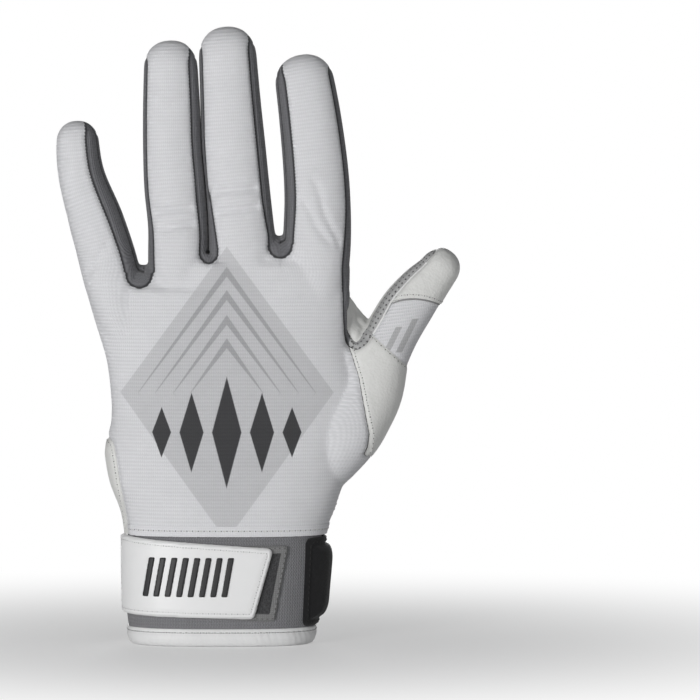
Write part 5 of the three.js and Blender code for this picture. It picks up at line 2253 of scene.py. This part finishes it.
def smooth_profile(stops, step):
    """A closed profile with more points along its straight stretches."""
    closed = np.array([*stops, stops[0]], float)
    line = []
    for a, b in zip(closed[:-1], closed[1:]):
        count = max(int(np.linalg.norm(b - a) / step), 1)
        line += [a + (b - a) * t for t in np.arange(count) / count]
    return line


STRAP_LOW = 11.4
PATCH_LOW, PATCH_HIGH = 9.7, 38.9
PATCH_END_LOW, PATCH_END_HIGH = 18.9, 24.2
STRAP_OUT = 1.5
STRAP_TUCK = 1.1
STRAP_THICK = 1.7
RIB_COUNT = 8
RIB_LOW, RIB_HIGH = 19.4, 34.6
RIB_SLANT = 1.1


def side_arc(y):
    """The length round the cuff to a y on its little-finger side."""
    return arc_at(y, 26.0, 1, -math.pi / 2, 0)


def on_strap(arc, z, out):
    """A place on the strap, which lies closer to the cuff near the seam that holds it."""
    seam = side_arc(-3.0)
    return on_cuff(arc, z, out - STRAP_TUCK * ease(arc, seam + 24, seam + 8))


def strap_outline():
    seam = side_arc(-3.0)
    ends = [(back_arc(10.8, STRAP_LOW), 10.9), (back_arc(18.2, 38.0), 37.9)]
    return rounded_outline([(seam, 12.2), *ends, (seam, 42.6)], [1.2, 2.0, 2.4, 1.2])


def patch_outline(seam):
    """The hook field's outline; its lower edge rises to the seam, so that it stays under the strap."""
    low, high = back_arc(PATCH_END_LOW, PATCH_LOW), back_arc(PATCH_END_HIGH, PATCH_HIGH)
    corners = [(seam, PATCH_LOW + 2.7), (low, PATCH_LOW), (high, PATCH_HIGH), (seam, PATCH_HIGH)]
    return rounded_outline(corners, 1.4)


class GLOVE_OT_closure(PieceOperator):
    """Makes the hook field, the strap that closes on it and the strap's raised grip."""

    bl_idname = "glove.closure"
    bl_label = "Strap and closure"

    def make(self, context):
        seam = side_arc(-6.0)
        line = patch_outline(seam)

        def tucked(u, w, depth):
            return -STRAP_TUCK * ease(u, seam + 27, seam + 11)

        def welted(u, w, depth):
            return groove(depth - 1.9, 0.22, 0.5) - 0.1 * ease(depth, 3.0, 1.0)

        cloth = Cloth()
        slab(cloth, line, on_cuff, -0.2, 1.4, 0.6, shape=tucked)
        cloth.piece("hook_field", "hook", "hook_and_loop", "hand", ["closure_patch"])
        stitch_piece("closure_patch_stitches", "grey_thread", "hook_and_loop", "hand",
                     [mapped_line(line, on_strap, 1.2, 1.0)], 0.9, 0.8)
        line = strap_outline()
        cloth = Cloth()
        slab(cloth, line, on_strap, STRAP_OUT, STRAP_THICK, 0.8, 0.7, welted)
        cloth.piece("closing_strap", "strap", "strap_coating", "strap", ["strap"])
        stitch_piece("strap_stitches", "soft_thread", "strap_coating", "strap",
                     [mapped_line(line, on_strap, STRAP_OUT + 1.5, 1.9)], thick=0.9)
        cloth = Cloth()
        low, high = back_arc(-30.0, 26.0), back_arc(3.0, 26.0)
        pitch = (high - low) / RIB_COUNT
        for k in range(RIB_COUNT):
            a = low + pitch * (k + 0.22)
            b = a + pitch * 0.56
            foot = [(a - RIB_SLANT, RIB_LOW), (b - RIB_SLANT, RIB_LOW)]
            top = [(b + RIB_SLANT, RIB_HIGH), (a + RIB_SLANT, RIB_HIGH)]
            slab(cloth, rounded_outline(foot + top, 0.6), on_strap, STRAP_OUT + 1.2, 1.2, 0.45, 0.3)
        cloth.piece("strap_ribs", "rubber", "black_rubber", "strap", ["strap_grip"])


CUSHION_RISE = 3.0
CUSHION_RIM = 3.0


class GLOVE_OT_side_pad(PieceOperator):
    """Makes the black padded piece at the thumb side of the cuff."""

    bl_idname = "glove.side_pad"
    bl_label = "Side pad"

    def make(self, context):
        low = arc_at(-15.2, 25.0, 1, math.pi / 5, math.pi / 2)
        high = arc_at(15.4, 25.0, 1, math.pi / 2, math.pi * 0.86)
        line = rounded_outline([(low, 7.2), (high, 7.2), (high, 41.4), (low, 41.4)], 3.2)

        def bulge(u, w, depth):
            past_rim = depth - CUSHION_RIM
            return CUSHION_RISE * edge_round(np.maximum(past_rim, 0), 6.5) + groove(past_rim, 0.25, 0.9)

        cloth = Cloth()
        slab(cloth, line, on_cuff, -0.1, 1.3, 0.7, 0.8, bulge)
        made = cloth.piece("side_cushion", "padding", "black_padding", "hand", ["wrist_side_pad"])
        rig.padded(made, fill=0.8)
        stitch_piece("side_pad_stitches", "black_thread", "black_padding", "hand",
                     [mapped_line(line, on_cuff, 1.15, 1.7)])


TAB_RUN = [(24.4, 37.4), (24.3, 24.0), (25.6, 12.4), (29.8, 5.2), (35.6, 2.4), (40.4, 2.0)]
TAB_X, TAB_WIDTH, TAB_TIP_WIDTH, TAB_TAPER = -4.8, 38.0, 26.0, 9.0


class TabRun:
    """The pull tab's path: down the palm side of the cuff and out along the floor."""

    stops = np.array(TAB_RUN, float)
    at = run_lengths(stops)
    s = np.linspace(0, at[-1], 120)
    line = smooth_rows(at, stops, s)
    along = unit(np.gradient(line, axis=0))
    length = float(at[-1])

    @classmethod
    def laid(cls, u, w, out):
        """A place across and along the tab; its right side faces away from the cuff."""
        y, z = rows_at(w, cls.s, cls.line).T
        dy, dz = rows_at(w, cls.s, cls.along).T
        points = np.stack([TAB_X - u, y - dz * out, z + dy * out], axis=1)
        return points, np.stack([np.zeros(len(u)), -dz, dy], axis=1)


def tab_outline(inset, taper_inset, tip_inset, start, end):
    """The tab's outline, drawn in by different amounts at its seam, at its taper and at its tip."""
    half, taper, tip = TAB_WIDTH / 2 - inset, TAB_WIDTH / 2 - taper_inset, TAB_TIP_WIDTH / 2 - tip_inset
    corners = [(-taper, TAB_TAPER), (-tip, end), (tip, end), (taper, TAB_TAPER), (half, start), (-half, start)]
    return rounded_outline(corners, [1.0, 6.0, 2.5, 2.5, 6.0, 1.0])


class GLOVE_OT_pull_tab(PieceOperator):
    """Makes the folded webbing tab that is sewn to the palm side of the cuff."""

    bl_idname = "glove.pull_tab"
    bl_label = "Pull tab"

    def make(self, context):
        cloth = Cloth()
        slab(cloth, tab_outline(0.0, 0.0, 0.0, 0.0, TabRun.length), TabRun.laid, -0.1, 1.35, 0.6, 0.8)
        inner = tab_outline(0.5, 0.6, 0.4, 0.3, TabRun.length - 0.6)
        slab(cloth, inner, TabRun.laid, 1.3, 1.3, 0.7, 0.8)
        cloth.piece("webbing_tab", "webbing", "black_webbing", "pull_tab", ["pull_tab"])
        half = TAB_WIDTH / 2 - 2.6
        box = rounded_outline([(-half, 2.2), (half, 2.2), (half, TAB_TAPER), (-half, TAB_TAPER)][::-1], 0.6)
        lines = [mapped_line(inner, TabRun.laid, 2.5, 2.2), mapped_line(box, TabRun.laid, 2.55, 0.0)]
        stitch_piece("pull_tab_stitches", "black_thread", "black_webbing", "pull_tab", lines)


# The stage: floor, light and camera


CAMERA_AIM = (47.7, 0.0, 112.8)
CAMERA_RISE = 3.0
CAMERA_AWAY = 2600.0
VIEW_WIDTH = 269.5
SENSOR_WIDTH = 36

# Lamps: place and size in metres, power in watts
LAMPS = {
    "key": ((-1.0, -1.58, 0.06), 0.6, 36.5), "fill": ((0.66, -1.78, 0.06), 0.7, 12.0),
    "top": ((0.1, -0.1, 1.7), 1.2, 0.7), "back": ((0.0, 1.9, 0.35), 0.7, 19.0),
}


def faced(place, aim):
    """The turn that points a camera or lamp at a place."""
    return (aim - place).to_track_quat("-Z", "Y").to_euler()


class GLOVE_OT_stage(PieceOperator):
    """Sets the pale floor, the soft light and the camera."""

    bl_idname = "glove.stage"
    bl_label = "Stage"

    def make(self, context):
        scene = context.scene
        scene.view_settings.view_transform = "Standard"
        self.floor()
        self.light(scene)
        aim = Vector(metres(CAMERA_AIM))
        rise = math.radians(CAMERA_RISE)
        away = CAMERA_AWAY * MM
        place = aim + Vector((0, -math.cos(rise) * away, math.sin(rise) * away))
        bpy.ops.object.camera_add(location=place)
        camera = context.object
        camera.rotation_euler = faced(place, aim)
        camera.data.sensor_width = SENSOR_WIDTH
        camera.data.lens = SENSOR_WIDTH * CAMERA_AWAY / VIEW_WIDTH
        camera.data.clip_end = 20
        scene.camera = camera

    def floor(self):
        bpy.ops.mesh.primitive_circle_add(vertices=96, radius=6, fill_type="NGON", location=(0, 0, 0))
        floor = bpy.context.object
        floor.name = "studio_floor"
        finish = Finish("floor")
        x, y, z = finish.parts(finish.node("ShaderNodeTexCoord", {}, {}).outputs["Object"])
        rays = finish.node("ShaderNodeLightPath", {}, {})
        seen = Term(finish, rays.outputs["Is Camera Ray"]).greater(Term(finish, rays.outputs["Is Glossy Ray"]))
        white = finish.node("ShaderNodeEmission", {}, {"Color": (1, 1, 1, 1), "Strength": 1.0})
        matt = finish.node("ShaderNodeBsdfDiffuse", {}, {"Color": (0.86, 0.86, 0.86, 1)})
        share = ((x * x + y * y) ** 0.5).ramp(0.05, 0.34) * 0.62 + 0.38
        sockets = {0: seen * share, 1: matt.outputs[0], 2: white.outputs[0]}
        shader = finish.node("ShaderNodeMixShader", {}, sockets)
        finish.node("ShaderNodeOutputMaterial", {}, {"Surface": shader.outputs[0]})
        floor.data.materials.append(finish.material)
        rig.stage(floor)

    def light(self, scene):
        scene.world = bpy.data.worlds.new("studio")
        sky = Nodes(scene.world)
        rays = sky.node("ShaderNodeLightPath", {}, {})
        seen = sky.node("ShaderNodeBackground", {}, {"Color": (1, 1, 1, 1)})
        glow = sky.node("ShaderNodeBackground", {}, {"Color": (0.96, 0.98, 1.0, 1), "Strength": 0.14})
        mixed = sky.node("ShaderNodeMixShader", {}, {
            0: rays.outputs["Is Camera Ray"], 1: glow.outputs[0], 2: seen.outputs[0],
        })
        sky.node("ShaderNodeOutputWorld", {}, {"Surface": mixed.outputs[0]})
        aim = Vector(metres((0, 0, 120)))
        for name, (place, size, power) in LAMPS.items():
            bpy.ops.object.light_add(type="AREA", location=place)
            lamp = bpy.context.object
            lamp.name = f"studio_{name}"
            lamp.data.size = size
            lamp.data.energy = power
            lamp.rotation_euler = faced(Vector(place), aim)


OPERATORS = (
    GLOVE_OT_knit, GLOVE_OT_leather, GLOVE_OT_gussets, GLOVE_OT_thumb, GLOVE_OT_stitches, GLOVE_OT_cuff,
    GLOVE_OT_closure, GLOVE_OT_side_pad, GLOVE_OT_pull_tab, GLOVE_OT_stage,
)


class GLOVE_PT_panel(bpy.types.Panel):
    """Lists the glove's pieces in the sidebar."""

    bl_label = "Padded inner glove"
    bl_idname = "GLOVE_PT_panel"
    bl_space_type = "VIEW_3D"
    bl_region_type = "UI"
    bl_category = "Glove"

    def draw(self, context):
        column = self.layout.column(align=True)
        for operator in OPERATORS:
            column.operator(operator.bl_idname)
        for key in GloveSizes.__annotations__:
            self.layout.prop(context.scene.glove_sizes, key)
        for key in GloveColours.__annotations__:
            self.layout.prop(context.scene.glove_colours, key)


CLASSES = (GloveSizes, GloveColours, *OPERATORS, GLOVE_PT_panel)


def register():
    for cls in CLASSES:
        bpy.utils.register_class(cls)
    bpy.types.Scene.glove_sizes = PointerProperty(type=GloveSizes)
    bpy.types.Scene.glove_colours = PointerProperty(type=GloveColours)


def unregister():
    del bpy.types.Scene.glove_colours
    del bpy.types.Scene.glove_sizes
    for cls in reversed(CLASSES):
        bpy.utils.unregister_class(cls)


def main():
    register()
    bpy.ops.object.select_all(action="DESELECT")
    for operator in OPERATORS:
        group, name = operator.bl_idname.split(".")
        getattr(getattr(bpy.ops, group), name)()
    visual_box = [list(corner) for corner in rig.bounds()]
    with open("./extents.json", "w") as file:
        json.dump({"cad": cad_box, "visual": visual_box}, file)


if __name__ == "__main__":
    main()
